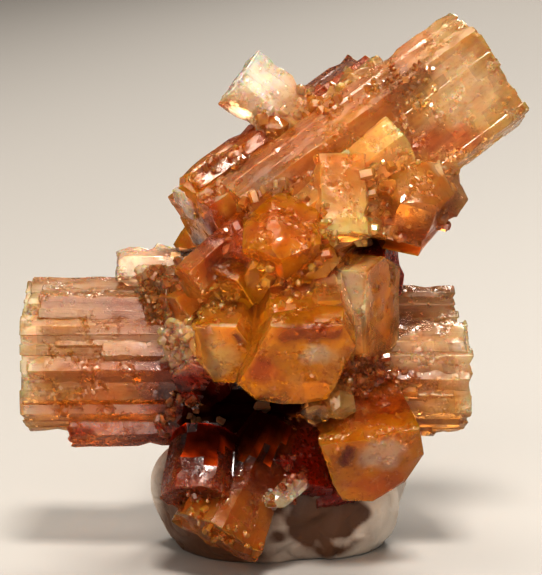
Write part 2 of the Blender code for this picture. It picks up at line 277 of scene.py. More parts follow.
UPPER_ARM = (
    Crystal((21.5, 2.9, 48.5), 18, 34, 29,
            ((0, 7.1), (-4.9, 5.3), (-5.5, -4.5), (0, -6.9), (5.4, -4.3), (5.3, 4.2)),
            Tone.STRAW, Habit.STRIATED),
    Crystal((18.9, 4.6, 51.6), 18, 34, 20, hexagon(2.6, 12), Tone.AMBER, Habit.STRIATED),
    Crystal((12.6, -3.4, 41.9), 14, 35, 16, hexagon(4.2, 14), Tone.PEACH, Habit.BLOCKY),
    Crystal((-7.2, -3.0, 33.6), -154, -31, 24,
            ((0.5, 4.4), (-4.6, 2.6), (-4.8, -3.2), (0, -5.6), (4.6, -3.4), (4.8, 2.4)),
            Tone.AMBER, Habit.BLOCKY),
    Crystal((-6.5, 1.4, 36.5), -161, -34, 20, hexagon(2.5, 10), Tone.OLIVE, Habit.STRIATED),
    Crystal((-8.7, -3.2, 35.4), -154, -31, 9, hexagon(1.9, 20), Tone.CHALK, Habit.SMALL),
    Crystal((-5.0, 4.6, 34.6), -160, -33, 18, hexagon(4.4, -8), Tone.AMBER, Habit.BLOCKY),
)

TOP_CRYSTALS = (
    Crystal((-3.3, 0.2, 47.9), 184, 38, 11,
            ((0.2, 3.4), (3.2, -0.2), (2.4, -2.0), (0.6, -3.4), (-2.8, -2.0), (-3.0, 1.6)),
            Tone.CHALK, Habit.BLOCKY),
    Crystal((-0.4, 2.4, 46.6), 170, 44, 9, hexagon(2.4, 15), Tone.CHALK),
    Crystal((4.6, -1.2, 45.4), -76, 52, 8, hexagon(2.1, 5), Tone.HONEY, crown=(0.8, 1.3)),
    Crystal((7.2, 0.2, 46.5), -69, 56, 8, hexagon(1.9, 28), Tone.STRAW, crown=(0.7, 1.0)),
    Crystal((9.2, 2.0, 48.0), -10, 60, 8, hexagon(1.8, 10), Tone.STRAW, crown=(0.6, 0.9)),
    Crystal((11.2, 3.0, 48.8), 18, 34, 8, hexagon(1.5, 20), Tone.STRAW),
    Crystal((0.6, -2.4, 44.4), -85, 50, 7, hexagon(1.7, 20), Tone.HONEY, crown=(0.6, 0.9)),
    Crystal((5.4, 7.2, 43.2), 64, 58, 12, hexagon(3.0, 8), Tone.HONEY, Habit.BLOCKY),
)

FRONT_PRISM = (
    Crystal((2.5, -16.0, 21.3), -89, -26, 16,
            ((-2.6, 4.6), (4.4, 4.7), (5.6, 2.0), (2.9, -4.2), (-4.2, -4.6), (-5.8, -2.1)),
            Tone.AMBER, Habit.GLASSY, crown=(0.25, 0.5)),
    Crystal((-4.7, -13.8, 22.1), -99, -22, 13,
            ((-2.6, 2.8), (1.6, 3.2), (3.2, 0.6), (1.8, -3.4), (-1.1, -3.3), (-2.7, -1.0)),
            Tone.AMBER, Habit.GLASSY, crown=(0.35, 0.6)),
    Crystal((5.3, -13.6, 25.6), -82, -30, 11, hexagon(2.4, 25), Tone.HONEY, Habit.GLASSY,
            crown=(0.4, 0.8)),
    Crystal((0.3, -11.8, 28.6), -92, -24, 9, hexagon(3.6, 32), Tone.AMBER, Habit.BLOCKY,
            crown=(0.3, 0.9)),
    Crystal((0.9, -12.6, 35.3), -99, 44, 12, hexagon(4.5, 5), Tone.AMBER, Habit.GLASSY,
            crown=(0.8, 2.2)),
    Crystal((-2.2, -11.4, 33.6), -112, 36, 11, hexagon(2.7, 10), Tone.EMBER, Habit.GLASSY,
            crown=(0.8, 1.5)),
    Crystal((3.7, -11.8, 31.5), -84, 10, 10, hexagon(3.1, 18), Tone.AMBER, Habit.BLOCKY,
            crown=(0.6, 1.2)),
)

LEFT_FRONT = (
    Crystal((-8.0, -10.6, 28.5), -144, -33, 11, hexagon(2.3, 20, 0.95), Tone.COPPER,
            Habit.BLOCKY),
    Crystal((-4.6, -10.4, 27.4), -120, -30, 11, hexagon(3.2, 14), Tone.AMBER, Habit.BLOCKY),
    Crystal((-15.4, -2.4, 29.2), 180, 0, 13, hexagon(2.0, 12, 1.3), Tone.GREY, Habit.BLOCKY),
    Crystal((-12.0, -0.6, 29.8), 168, 14, 11, hexagon(1.7, 5), Tone.GREY),
    Crystal((-11.6, -7.2, 26.6), -142, -12, 10, hexagon(2.6, 5), Tone.OLIVE, Habit.BLOCKY),
    Crystal((-9.8, -8.6, 25.4), -132, -20, 9, hexagon(2.2, 25), Tone.COPPER),
    Crystal((-13.0, -5.0, 25.2), -155, -8, 8, hexagon(1.6, 0), Tone.OLIVE),
    Crystal((-9.0, -9.4, 22.4), -127, -6, 9, hexagon(2.6, 12), Tone.PEACH),
    Crystal((-6.9, -9.6, 18.4), -109, -38, 10, hexagon(3.1, 10), Tone.RED, Habit.BLOCKY),
    Crystal((-10.6, -5.4, 15.4), -134, -6, 10, hexagon(2.9, 22), Tone.RED, Habit.BLOCKY),
)

RIGHT_FRONT = (
    Crystal((11.0, -7.8, 25.8), -29, 0, 14,
            ((0, 5.2), (-3.6, 4.1), (-4.1, 0.4), (-3.4, -4.2), (0.6, -5.0), (3.4, -3.8), (3.6, 3.8)),
            Tone.HONEY, Habit.GLASSY),
    Crystal((6.9, -9.4, 32.9), -82, -72, 8,
            ((-2.2, 2.0), (2.2, 2.0), (2.9, 0.2), (2.0, -2.2), (-2.0, -2.2), (-2.8, 0.1)),
            Tone.PEACH, Habit.GLASSY),
    Crystal((14.6, -7.8, 38.4), -72, 44, 7.5, hexagon(3.7, 12), Tone.HONEY, Habit.GLASSY,
            crown=(0.45, 1.3)),
    Crystal((17.4, -5.2, 37.4), -40, 22, 10, hexagon(3.0, 0), Tone.ROSE, Habit.BLOCKY),
    Crystal((11.2, -7.6, 34.6), -75, 12, 8, hexagon(1.9, 15), Tone.HONEY),
    Crystal((10.6, -6.2, 38.6), -80, 42, 8, hexagon(2.0, 5), Tone.HONEY),
    Crystal((8.8, -9.0, 19.6), -71, -15, 9, hexagon(2.9, 10), Tone.RUST, Habit.BLOCKY),
    Crystal((12.2, -3.6, 29.4), -20, 12, 10, hexagon(3.0, 5), Tone.RED, Habit.BLOCKY),
    Crystal((6.9, -12.4, 16.7), -75, -18, 6, hexagon(1.7, 10), Tone.STRAW, crown=(0.5, 0.7)),
    Crystal((4.3, -11.8, 15.9), -100, -20, 6, hexagon(1.4, 25, 1.3), Tone.STRAW, crown=(0.5, 0.6)),
)

LOWER_CRYSTALS = (
    Crystal((9.8, -12.0, 10.7), -78, -33, 9.5,
            ((-5.6, 2.8), (-2.6, -4.9), (2.7, -4.2), (5.4, 1.0), (4.4, 4.6), (-1.3, 4.2)),
            Tone.AMBER, Habit.GLASSY, 0.8, (0.35, 0.9)),
    Crystal((10.6, -6.6, 15.0), -70, -12, 9, hexagon(3.2, 0), Tone.PEACH, Habit.BLOCKY),
    Crystal((-7.0, -12.6, 7.6), -100, -57, 7, hexagon(4.2, 25, 0.95), Tone.RUST, Habit.BLOCKY,
            0.85),
    Crystal((-5.4, -11.4, 3.7), -138, -54, 13, hexagon(5.5, 8, 0.95), Tone.COPPER, Habit.BLOCKY,
            0.5),
    Crystal((1.7, -11.6, 8.2), -60, 7, 6,
            ((2.5, 1.2), (0.6, 1.4), (-2.3, -0.2), (-2.4, -1.2), (-0.4, -1.3), (2.3, 0.2)),
            Tone.GREY),
    Crystal((2.6, -6.8, 6.2), -73, -52, 13, hexagon(4.1, 12), Tone.RED, Habit.BLOCKY),
    Crystal((6.2, -5.6, 5.2), -60, -50, 12, hexagon(2.6, 0), Tone.RED),
    Crystal((0.4, -9.2, 9.4), -84, -30, 9, hexagon(2.5, 20), Tone.RED),
    # Painted shade: a near-black crystal set deep in the cavity under the front prism
    Crystal((-2.4, 0.6, 12.0), -95, -60, 8, hexagon(3.4, 5), Tone.DARK),
    Crystal((-5.4, 3.4, 4.6), 140, -68, 14, hexagon(3.6, 10), Tone.RUST),
    Crystal((2.2, 3.0, 3.2), 80, -84, 16, hexagon(4.2, 0), Tone.RUST),
    Crystal((7.8, 4.0, 5.0), 20, -66, 13, hexagon(3.4, 20), Tone.RUST),
)

BACK_CRYSTALS = (
    Crystal((2.6, 18.6, 26.4), 86, 9, 17, hexagon(5.4, 5), Tone.AMBER, Habit.STRIATED),
    Crystal((-0.2, 17.2, 23.6), 88, 8, 15, hexagon(3.8, 12), Tone.AMBER, Habit.STRIATED),
    Crystal((5.8, 16.2, 28.4), 85, 10, 14, hexagon(3.1, -6), Tone.ROSE, Habit.STRIATED),
    Crystal((-6.2, 15.2, 33.4), 118, 30, 17, hexagon(3.9, 10), Tone.HONEY, Habit.BLOCKY),
    Crystal((-7.6, 13.2, 30.2), 122, 28, 14, hexagon(3.0, 20), Tone.AMBER, Habit.BLOCKY),
    Crystal((14.0, 13.4, 15.2), 44, -26, 15, hexagon(3.8, 0), Tone.AMBER, Habit.BLOCKY),
    Crystal((12.4, 14.4, 17.6), 46, -25, 13, hexagon(2.7, 15), Tone.PEACH, Habit.BLOCKY),
    Crystal((-12.2, 11.6, 14.4), 138, -27, 14, hexagon(3.5, 8), Tone.AMBER, Habit.BLOCKY),
    Crystal((10.2, 13.6, 33.0), 54, 34, 14, hexagon(3.3, 12), Tone.HONEY, Habit.BLOCKY),
    Crystal((0.6, 14.2, 14.4), 92, -38, 12, hexagon(3.2, 4), Tone.EMBER, Habit.BLOCKY),
)

# Slender ribs grown along an arm's sides: the arm's main prism, the ribs' distance from its axis
# in mm, and each rib's turn from the top, radius and how far it stops short of the end
RIBS = (
    (LEFT_ARM[0], 5.3, ((32, 1.5, 1.3), (70, 1.3, 3.4), (97, 1.6, 0.5), (124, 1.3, 2.0),
                        (158, 1.5, 1.0), (206, 1.7, 1.7), (252, 1.6, 0.6), (286, 1.5, 2.3),
                        (326, 1.7, 1.2))),
    (RIGHT_ARM[0], 4.1, ((-38, 1.2, 0.9), (-84, 1.3, 0.4), (-108, 1.1, 1.6), (-148, 1.2, 0.7),
                         (164, 1.3, 1.5), (96, 1.4, 0.8))),
    (RIGHT_ARM[1], 3.3, ((-20, 1.2, 0.8), (30, 1.1, 1.5), (85, 1.2, 0.5))),
    (UPPER_ARM[0], 5.0, ((-8, 1.9, 1.2), (26, 1.6, 0.5), (-70, 1.2, 13.5), (68, 1.9, 0.8),
                         (112, 1.8, 1.9), (150, 1.7, 0.6), (196, 1.6, 1.4))),
    (UPPER_ARM[3], 3.9, ((18, 1.3, 0.9), (58, 1.4, 1.8), (-30, 1.3, 1.2), (100, 1.2, 0.5))),
    (BACK_CRYSTALS[0], 4.0, ((20, 1.4, 0.7), (84, 1.3, 1.5), (150, 1.5, 0.5), (212, 1.2, 1.2),
                             (275, 1.4, 0.8))),
)

ARMS = (LEFT_ARM, RIGHT_ARM, UPPER_ARM, TOP_CRYSTALS, FRONT_PRISM, LEFT_FRONT, RIGHT_FRONT,
        LOWER_CRYSTALS, BACK_CRYSTALS)


def ripple(points: Array, wavelength: float, seed: int) -> Array:
    """Smooth noise from -1 to 1: a sum of sine waves with unlike headings, paces and phases.

    Args:
        points: Positions, the last axis holding their coordinates.
        wavelength: The usual distance between crests, in the points' unit.
        seed: Picks the headings and phases.

    Returns:
        One value for each point.
    """
    rng = np.random.default_rng(seed)
    waves = 8
    ways = rng.normal(size=(waves, points.shape[-1]))
    ways /= np.linalg.norm(ways, axis=1, keepdims=True)
    pace = 2.0 * np.pi / wavelength * rng.uniform(0.6, 1.5, waves)
    phase = rng.uniform(0.0, 2.0 * np.pi, waves)
    total = np.sin(points @ (ways * pace[:, None]).T + phase).sum(axis=-1)
    return np.clip(total / 3.2, -1.0, 1.0)


def smoothstep(value: Array, low: float, high: float) -> Array:
    """Return 0 below low, 1 above high and an even slope between them."""
    share = np.clip((value - low) / (high - low), 0.0, 1.0)
    return share * share * (3.0 - 2.0 * share)


def globe_angles(turns: int, rises: int) -> tuple[Array, Array]:
    """Angles of a grid on a sphere: down from the top, without the poles, and round the axis.

    Args:
        turns: The number of points round the axis.
        rises: The number of steps from pole to pole.

    Returns:
        The rise angles as a column and the turn angles as a row.
    """
    rise = np.linspace(0.0, np.pi, rises + 1)[1:-1, None]
    turn = np.linspace(0.0, 2.0 * np.pi, turns, endpoint=False)[None, :]
    return rise, turn


def globe_faces(turns: int, rises: int) -> list:
    """Faces of a grid on a sphere, its two poles last among the points: the top, then the foot.

    Args:
        turns: The number of points round the axis.
        rises: The number of steps from pole to pole.

    Returns:
        The faces, pointing outwards.
    """
    here = np.arange(turns)
    after = (here + 1) % turns
    ring = (np.arange(rises - 2) * turns)[:, None]
    quads = np.stack([ring + here, ring + turns + here, ring + turns + after, ring + after],
                     axis=-1).reshape(-1, 4)
    pole = (rises - 1) * turns
    top = np.stack([np.full(turns, pole), here, after], axis=1)
    low = (rises - 2) * turns
    foot = np.stack([np.full(turns, pole + 1), low + after, low + here], axis=1)
    return quads.tolist() + top.tolist() + foot.tolist()


@dataclass
class Shell:
    """A closed mesh in mm: its corners, its faces and the part that each face belongs to."""

    points: Array
    faces: list
    parts: list

    def mesh(self, name: str, owner: int) -> bpy.types.Mesh:
        """Write the shell as a Blender mesh whose faces know their crystal.

        Args:
            name: The mesh's name.
            owner: The crystal's place in the cluster's list.

        Returns:
            The mesh, in metres.
        """
        mesh = bpy.data.meshes.new(name)
        mesh.from_pydata((self.points * MM).tolist(), [], self.faces)
        count = len(mesh.polygons)
        mesh.attributes.new("owner", "INT", "FACE")
        mesh.attributes["owner"].data.foreach_set("value", np.full(count, owner, dtype=np.int32))
        mesh.attributes.new("part", "INT", "FACE")
        mesh.attributes["part"].data.foreach_set("value", np.array(self.parts, dtype=np.int32))
        return mesh


class Carver:
    """Turns a crystal into a carved shell: a stepped profile carried along its axis."""

    def __init__(self, crystal: Crystal, seed: int) -> None:
        """Keep the crystal and seed its random draws.

        Args:
            crystal: The crystal to carve.
            seed: Picks its random draws.
        """
        self.crystal = crystal
        self.cut = crystal.habit.value
        self.seed = seed
        self.rng = np.random.default_rng(seed)

    def profile(self) -> tuple[Array, Array, Array, Array]:
        """Split each side of the section into strips, with two profile points on each strip.

        A point moves in at right angles to its side, or along the corner's bisector if it is the
        nearest to a corner, so that neighbouring sides never cross.

        Returns:
            The points, their inward ways, how deep their strips are set and the distance of
            each point from the nearest corner of the section.
        """
        corners = self.crystal.corners()
        sides = np.roll(corners, -1, axis=0) - corners
        lengths = np.linalg.norm(sides, axis=1)
        counts = np.maximum(1, np.round(lengths / self.cut.strip)).astype(int)
        side = np.repeat(np.arange(len(corners)), counts)
        first = np.concatenate([[0], np.cumsum(counts)[:-1]])
        place = np.arange(len(side)) - first[side]
        total = counts[side]
        shift = self.rng.uniform(-0.28, 0.28, len(side)) * (place > 0)
        start = (place + shift) / total
        last = place == total - 1
        stop = np.where(last, 1.0, np.roll(start, -1))
        gap = np.minimum(0.05 / lengths[side], 0.2 * (stop - start))
        depth = self.cut.step * self.rng.random(len(side)) ** 1.4
        depth = np.where((place == 0) | last, 0.25 * depth, depth)
        share = np.stack([start + gap, stop - gap], axis=1).ravel()
        ends = np.stack([np.where(place == 0, -1, 0), np.where(last, 1, 0)], axis=1).ravel()
        side = np.repeat(side, 2)
        normal = np.stack([-sides[:, 1], sides[:, 0]], axis=1) / lengths[:, None]
        beside = normal[(side + ends) % len(corners)]
        turn = (normal[side] * beside).sum(axis=1, keepdims=True)
        inward = np.where(ends[:, None] == 0, normal[side], (normal[side] + beside) / (1.0 + turn))
        points = corners[side] + share[:, None] * sides[side]
        edge = np.minimum(share, 1.0 - share) * lengths[side]
        return points, inward, np.repeat(depth, 2), edge

    def flanks(self) -> Array:
        """Carry the profile along the axis, from the end face to the root.

        A strip's depth swells and fades along the crystal, its edges are chipped where smooth
        noise is high, and each strip stops short of the end by its own amount.

        Returns:
            The rings of points (side, up, along) in mm, end first.
        """
        points, inward, depth, edge = self.profile()
        cut = self.cut
        length = self.crystal.length
        count = max(4, int(round(length / cut.ring)))
        fall = self.crystal.crown[1]
        reach = np.concatenate([[0.0, (0.12 + fall) / length],
                                np.linspace((0.45 + fall) / length, 1.0, count)])
        strips = len(points) // 2
        setback = np.repeat(cut.ragged * self.rng.random(strips) ** 2.2, 2)
        setback += cut.chip * smoothstep(ripple(points, 2.2, self.seed + 1), 0.3, 0.9)
        along = -setback - (length - setback) * reach[:, None]
        field = np.concatenate([np.broadcast_to(points, along.shape + (2,)), along[..., None]],
                               axis=-1)
        swell = 0.75 + 0.25 * ripple(field, 6.0, self.seed + 2)
        near_edge = np.exp(-(edge / 0.7) ** 2)
        chips = smoothstep(ripple(field, 2.4, self.seed + 3), 0.25, 0.95) * near_edge
        inset = depth * swell + cut.chip * chips
        inset += 0.3 * cut.chip * smoothstep(ripple(field, 1.8, self.seed + 4), 0.55, 1.0)
        inset[0] += 0.10
        size = 1.0 + (self.crystal.root - 1.0) * np.clip(-along / length, 0.0, 1.0)
        flat = points * size[..., None] + inward * inset[..., None]
        along[0] -= self.drop(points)
        return np.concatenate([flat, along[..., None]], axis=-1)

    def drop(self, points: Array) -> Array:
        """How far the crown's sloping facets fall below the end face.

        Each facet is a plane that starts at its own distance from the axis and falls away from
        there. A point takes the lowest of them, and the lowest point of the rim takes the
        crown's whole fall.

        Args:
            points: The (side, up) points in mm.

        Returns:
            The drop of each point in mm.
        """
        share, fall = self.crystal.crown
        if fall == 0.0:
            return np.zeros(len(points))
        rng = np.random.default_rng(self.seed + 7)
        radius = self.crystal.radius()
        turn = np.radians(60.0 * np.arange(6)) + rng.uniform(-0.5, 0.5, 6)
        start = radius * (1.0 - share * rng.uniform(0.5, 1.4, 6))
        slope = rng.uniform(0.5, 1.4, 6)
        facing = np.stack([np.cos(turn), np.sin(turn)], axis=1)
        rim = np.maximum(slope * (self.crystal.corners() @ facing.T - start), 0.0).max()
        fallen = np.maximum(slope * (points @ facing.T - start), 0.0).max(axis=1)
        return fall * np.minimum(fallen / rim, 1.0)

    def end_points(self, rim: Array) -> Array:
        """Scatter points over the end face, inside its rim.

        Args:
            rim: The rim's (side, up) points.

        Returns:
            The points, on a jittered grid in mm.
        """
        step = self.cut.grid
        low, high = rim.min(axis=0), rim.max(axis=0)
        side, up = np.meshgrid(np.arange(low[0], high[0], step), np.arange(low[1], high[1], step))
        side = side + 0.5 * step * (np.arange(side.shape[0]) % 2)[:, None]
        points = np.stack([side.ravel(), up.ravel()], axis=1)
        points += self.rng.uniform(-0.3, 0.3, points.shape) * step
        after = np.roll(rim, -1, axis=0)
        way = after - rim
        offset = points[:, None, :] - rim
        share = np.clip((offset * way).sum(-1) / (way ** 2).sum(-1), 0.0, 1.0)
        gap = np.linalg.norm(offset - share[..., None] * way, axis=-1).min(axis=1)
        cross = (offset[..., 1] >= 0.0) != (offset[..., 1] - way[..., 1] >= 0.0)
        slope = np.where(cross, way[..., 1], 1.0)
        hit = offset[..., 0] < offset[..., 1] * way[..., 0] / slope
        inside = (cross & hit).sum(axis=1) % 2 == 1
        return points[inside & (gap > 0.45 * step)]

    def end_relief(self, points: Array) -> Array:
        """Depth of the end face: many-sided terraces, each with its own small tilt.

        Args:
            points: The (side, up) points in mm.

        Returns:
            How far below the crystal's full length each point lies.
        """
        radius = self.crystal.radius()
        sites = max(3, int(radius * 1.6))
        place = self.rng.uniform(-radius, radius, (sites, 2))
        height = self.rng.random(sites) ** 1.5
        tilt = self.rng.uniform(-1.0, 1.0, (sites, 2)) * self.cut.tilt
        offset = points[:, None, :] - place
        nearest = (offset ** 2).sum(-1).argmin(axis=1)
        own = offset[np.arange(len(points)), nearest]
        relief = self.cut.mosaic * height[nearest] + (own * tilt[nearest]).sum(-1) + 0.04
        relief += 0.10 * ripple(points, 3.2, self.seed + 6)
        return np.maximum(relief + 0.03 * ripple(points, 1.6, self.seed + 5), 0.0)

    def shell(self) -> Shell:
        """Close the flanks with a terraced end face and a plain root face.

        Returns:
            The closed shell in the cluster's frame.
        """
        rings = self.flanks()
        count, around = rings.shape[:2]
        rim = rings[0]
        inner = self.end_points(rim[:, :2])
        triangles = self.triangulate(rim[:, :2], inner)
        depth = -self.end_relief(inner) - self.drop(inner) if len(inner) else np.zeros(0)
        face = np.column_stack([inner, depth]) if len(inner) else np.zeros((0, 3))
        if triangles is None:
            face = np.array([[0.0, 0.0, rim[:, 2].mean()]])
            here = np.arange(around)
            hub = np.full(around, around)
            triangles = np.stack([hub, here, (here + 1) % around], axis=1)
        ring = np.arange(count - 1)[:, None] * around
        here = np.arange(around)[None, :]
        after = (here + 1) % around
        quads = np.stack([ring + here, ring + around + here, ring + around + after,
                          ring + after], axis=-1).reshape(-1, 4)
        base = count * around
        end = np.where(triangles < around, triangles, triangles - around + base)
        hub = base + len(face)
        low = (count - 1) * around
        root = np.stack([np.full(around, hub), low + after[0], low + here[0]], axis=1)
        points = np.vstack([rings.reshape(-1, 3), face, [[0.0, 0.0, -self.crystal.length]]])
        faces = quads.tolist() + end.tolist() + root.tolist()
        parts = [Part.FLANK] * len(quads) + [Part.END] * len(end) + [Part.FLANK] * len(root)
        world = points @ self.crystal.axes() + np.array(self.crystal.end)
        return Shell(world, faces, parts)

    def triangulate(self, rim: Array, inner: Array) -> Array | None:
        """Span the end face with triangles between its rim and its inner points.

        Args:
            rim: The rim's points, counter-clockwise.
            inner: The points inside.

        Returns:
            Indices into the rim followed by the inner points, or None if the rim crosses itself.
        """
        if len(inner) == 0:
            return None
        points = np.vstack([rim, inner])
        loop = list(range(len(rim)))
        made = delaunay_2d_cdt([Vector(point) for point in points.tolist()], [], [loop], 1, 1e-7)
        sources = made[3]
        if len(made[0]) != len(points) or any(len(source) != 1 for source in sources):
            return None
        index = np.array([source[0] for source in sources])
        faces = index[np.array([list(face) for face in made[2]])]
        one, two, three = (points[faces[:, k]] for k in range(3))
        area = np.cross(two - one, three - one)
        faces[area < 0.0] = faces[area < 0.0][:, ::-1]
        used = np.unique(faces)
        return faces if len(used) == len(points) else None


class Field:
    """Where points lie in and round all the crystals, worked out as whole arrays."""

    def __init__(self, crystals: list[Crystal]) -> None:
        """Lay out the crystals' frames and the planes of their sides.

        Args:
            crystals: The crystals.
        """
        self.ends = np.array([crystal.end for crystal in crystals])
        self.axes = np.stack([crystal.axes() for crystal in crystals])
        self.lengths = np.array([crystal.length for crystal in crystals])
        self.roots = np.array([crystal.root for crystal in crystals])
        most = max(len(crystal.section) for crystal in crystals)
        self.normals = np.zeros((len(crystals), most, 2))
        self.offsets = np.zeros((len(crystals), most))
        for index, crystal in enumerate(crystals):
            corners = crystal.corners()
            sides = np.roll(corners, -1, axis=0) - corners
            normals = np.stack([sides[:, 1], -sides[:, 0]], axis=1)
            normals /= np.linalg.norm(normals, axis=1, keepdims=True)
            normals = np.pad(normals, ((0, most - len(corners)), (0, 0)), mode="edge")
            reach = np.pad(corners, ((0, most - len(corners)), (0, 0)), mode="edge")
            self.normals[index] = normals
            self.offsets[index] = (normals * reach).sum(axis=1)

    def local(self, points: Array, owner: Array) -> Array:
        """Return points as (side, up, along) from the end of the crystal that owns each."""
        offset = points - self.ends[owner]
        return np.einsum("pij,pj->pi", self.axes[owner], offset)

    def clearance(self, points: Array) -> Array:
        """Distance from each point to each crystal's surface, negative inside it.

        Args:
            points: Positions in mm.

        Returns:
            One row for each point and one column for each crystal.
        """
        parts = []
        for chunk in np.array_split(points, max(1, len(points) // 4000)):
            offset = chunk[:, None, :] - self.ends
            place = np.einsum("cij,pcj->pci", self.axes, offset)
            along = place[..., 2]
            size = 1.0 + (self.roots - 1.0) * np.clip(-along / self.lengths, 0.0, 1.0)
            flank = np.einsum("pcj,ckj->pck", place[..., :2], self.normals)
            flank = (flank - self.offsets * size[..., None]).max(axis=-1)
            parts.append(np.maximum(np.maximum(flank, along), -along - self.lengths))
        return np.concatenate(parts)


class Web:
    """A node tree being filled: it adds nodes, sets their sockets and joins them."""

    def __init__(self, tree: bpy.types.NodeTree) -> None:
        """Keep the tree."""
        self.tree = tree

    def add(self, kind: str, values: dict | None = None, **settings: object) -> bpy.types.Node:
        """Add a node.

        Args:
            kind: Blender's name for the kind of node.
            values: Socket values by name or number; a socket given as value is joined instead.
            settings: The node's own settings.

        Returns:
            The node.
        """
        node = self.tree.nodes.new(kind)
        for name, value in settings.items():
            setattr(node, name, value)
        for key, value in (values or {}).items():
            if isinstance(value, bpy.types.NodeSocket):
                self.tree.links.new(value, node.inputs[key])
            else:
                node.inputs[key].default_value = value
        return node

    def math(self, operation: str, *values: object) -> bpy.types.NodeSocket:
        """Add a Math node and return its result."""
        return self.add("ShaderNodeMath", dict(enumerate(values)), operation=operation).outputs[0]

    def ramp(self, value: bpy.types.NodeSocket, low: float, high: float, start: float = 0.0,
             stop: float = 1.0) -> bpy.types.NodeSocket:
        """Ease a value from start to stop as it goes from low to high.

        Args:
            value: The socket that gives the value.
            low: The value at which the slope begins.
            high: The value at which it ends.
            start: The result below low.
            stop: The result above high.

        Returns:
            The result's socket.
        """
        node = self.add("ShaderNodeMapRange", {"Value": value, "From Min": low, "From Max": high,
                                               "To Min": start, "To Max": stop})
        node.interpolation_type = "SMOOTHSTEP"
        return node.outputs["Result"]

    def mix(self, share: object, one: object, two: object,
            blend: str = "MIX") -> bpy.types.NodeSocket:
        """Mix two colours, each of the values a socket or a plain value.

        Args:
            share: The share of the second colour.
            one: The first colour.
            two: The second colour.
            blend: Blender's name for the way of mixing.

        Returns:
            The result's socket.
        """
        node = self.add("ShaderNodeMix", data_type="RGBA", blend_type=blend)
        for socket, value in ((node.inputs[0], share), (node.inputs[6], one),
                              (node.inputs[7], two)):
            if isinstance(value, bpy.types.NodeSocket):
                self.tree.links.new(value, socket)
            else:
                socket.default_value = value
        return node.outputs[2]


def new_group(name: str, inputs: dict, outputs: dict) -> tuple[bpy.types.NodeTree, Web, dict,
                                                               bpy.types.Node]:
    """Start a shader node group.

    Args:
        name: The group's name.
        inputs: Socket kinds by name, with float sockets given as their default number.
        outputs: Socket kinds by name.

    Returns:
        The group, a web to fill it, its input sockets by name and its output node.
    """
    tree = bpy.data.node_groups.new(name, "ShaderNodeTree")
    for label, kind in inputs.items():
        plain = isinstance(kind, float)
        socket = tree.interface.new_socket(label, in_out="INPUT",
                                           socket_type="NodeSocketFloat" if plain else kind)
        if plain:
            socket.default_value = kind
    for label, kind in outputs.items():
        tree.interface.new_socket(label, in_out="OUTPUT", socket_type=kind)
    web = Web(tree)
    entry = web.add("NodeGroupInput")
    leave = web.add("NodeGroupOutput")
    return tree, web, {socket.name: socket for socket in entry.outputs}, leave


def streak_group() -> bpy.types.NodeTree:
    """Lengthwise streaks: noise stretched along the crystal's own grain.

    Returns:
        A group with a soft Streaks mask and a finer Ridges height.
    """
    tree, web, entry, leave = new_group(
        "lengthwise_streaks",
        {"Grain": "NodeSocketVector", "Across": 1.2, "Along": 0.08},
        {"Streaks": "NodeSocketFloat", "Ridges": "NodeSocketFloat"})
    split = web.add("ShaderNodeSeparateXYZ", {0: entry["Grain"]})
    across = web.math("MULTIPLY", split.outputs[0], entry["Across"])
    along = web.math("MULTIPLY", split.outputs[1], entry["Along"])
    place = web.add("ShaderNodeCombineXYZ", {0: across, 1: along, 2: split.outputs[2]})
    soft = web.add("ShaderNodeTexNoise", {"Vector": place.outputs[0], "Scale": 1.0, "Detail": 3.0,
                                          "Roughness": 0.6, "Distortion": 0.15})
    fine = web.add("ShaderNodeTexNoise", {"Vector": place.outputs[0], "Scale": 4.2, "Detail": 4.0,
                                          "Roughness": 0.65})
    tree.links.new(web.ramp(soft.outputs["Fac"], 0.34, 0.66), leave.inputs["Streaks"])
    tree.links.new(fine.outputs["Fac"], leave.inputs["Ridges"])
    return tree


def mottle_group() -> bpy.types.NodeTree:
    """Soft patches from noise on object coordinates, given as a mask and a raw value.

    Returns:
        A group with Patches and Raw outputs.
    """
    tree, web, entry, leave = new_group(
        "soft_mottle", {"Scale": 400.0, "Low": 0.4, "High": 0.7, "Seed": 0.0},
        {"Patches": "NodeSocketFloat", "Raw": "NodeSocketFloat"})
    place = web.add("ShaderNodeTexCoord")
    noise = web.add("ShaderNodeTexNoise", {"Vector": place.outputs["Object"], "W": entry["Seed"],
                                           "Scale": entry["Scale"], "Detail": 5.0,
                                           "Roughness": 0.6, "Distortion": 0.4},
                    noise_dimensions="4D")
    ease = web.add("ShaderNodeMapRange", {"Value": noise.outputs["Fac"], "From Min": entry["Low"],
                                          "From Max": entry["High"]})
    ease.interpolation_type = "SMOOTHSTEP"
    tree.links.new(ease.outputs["Result"], leave.inputs["Patches"])
    tree.links.new(noise.outputs["Fac"], leave.inputs["Raw"])
    return tree


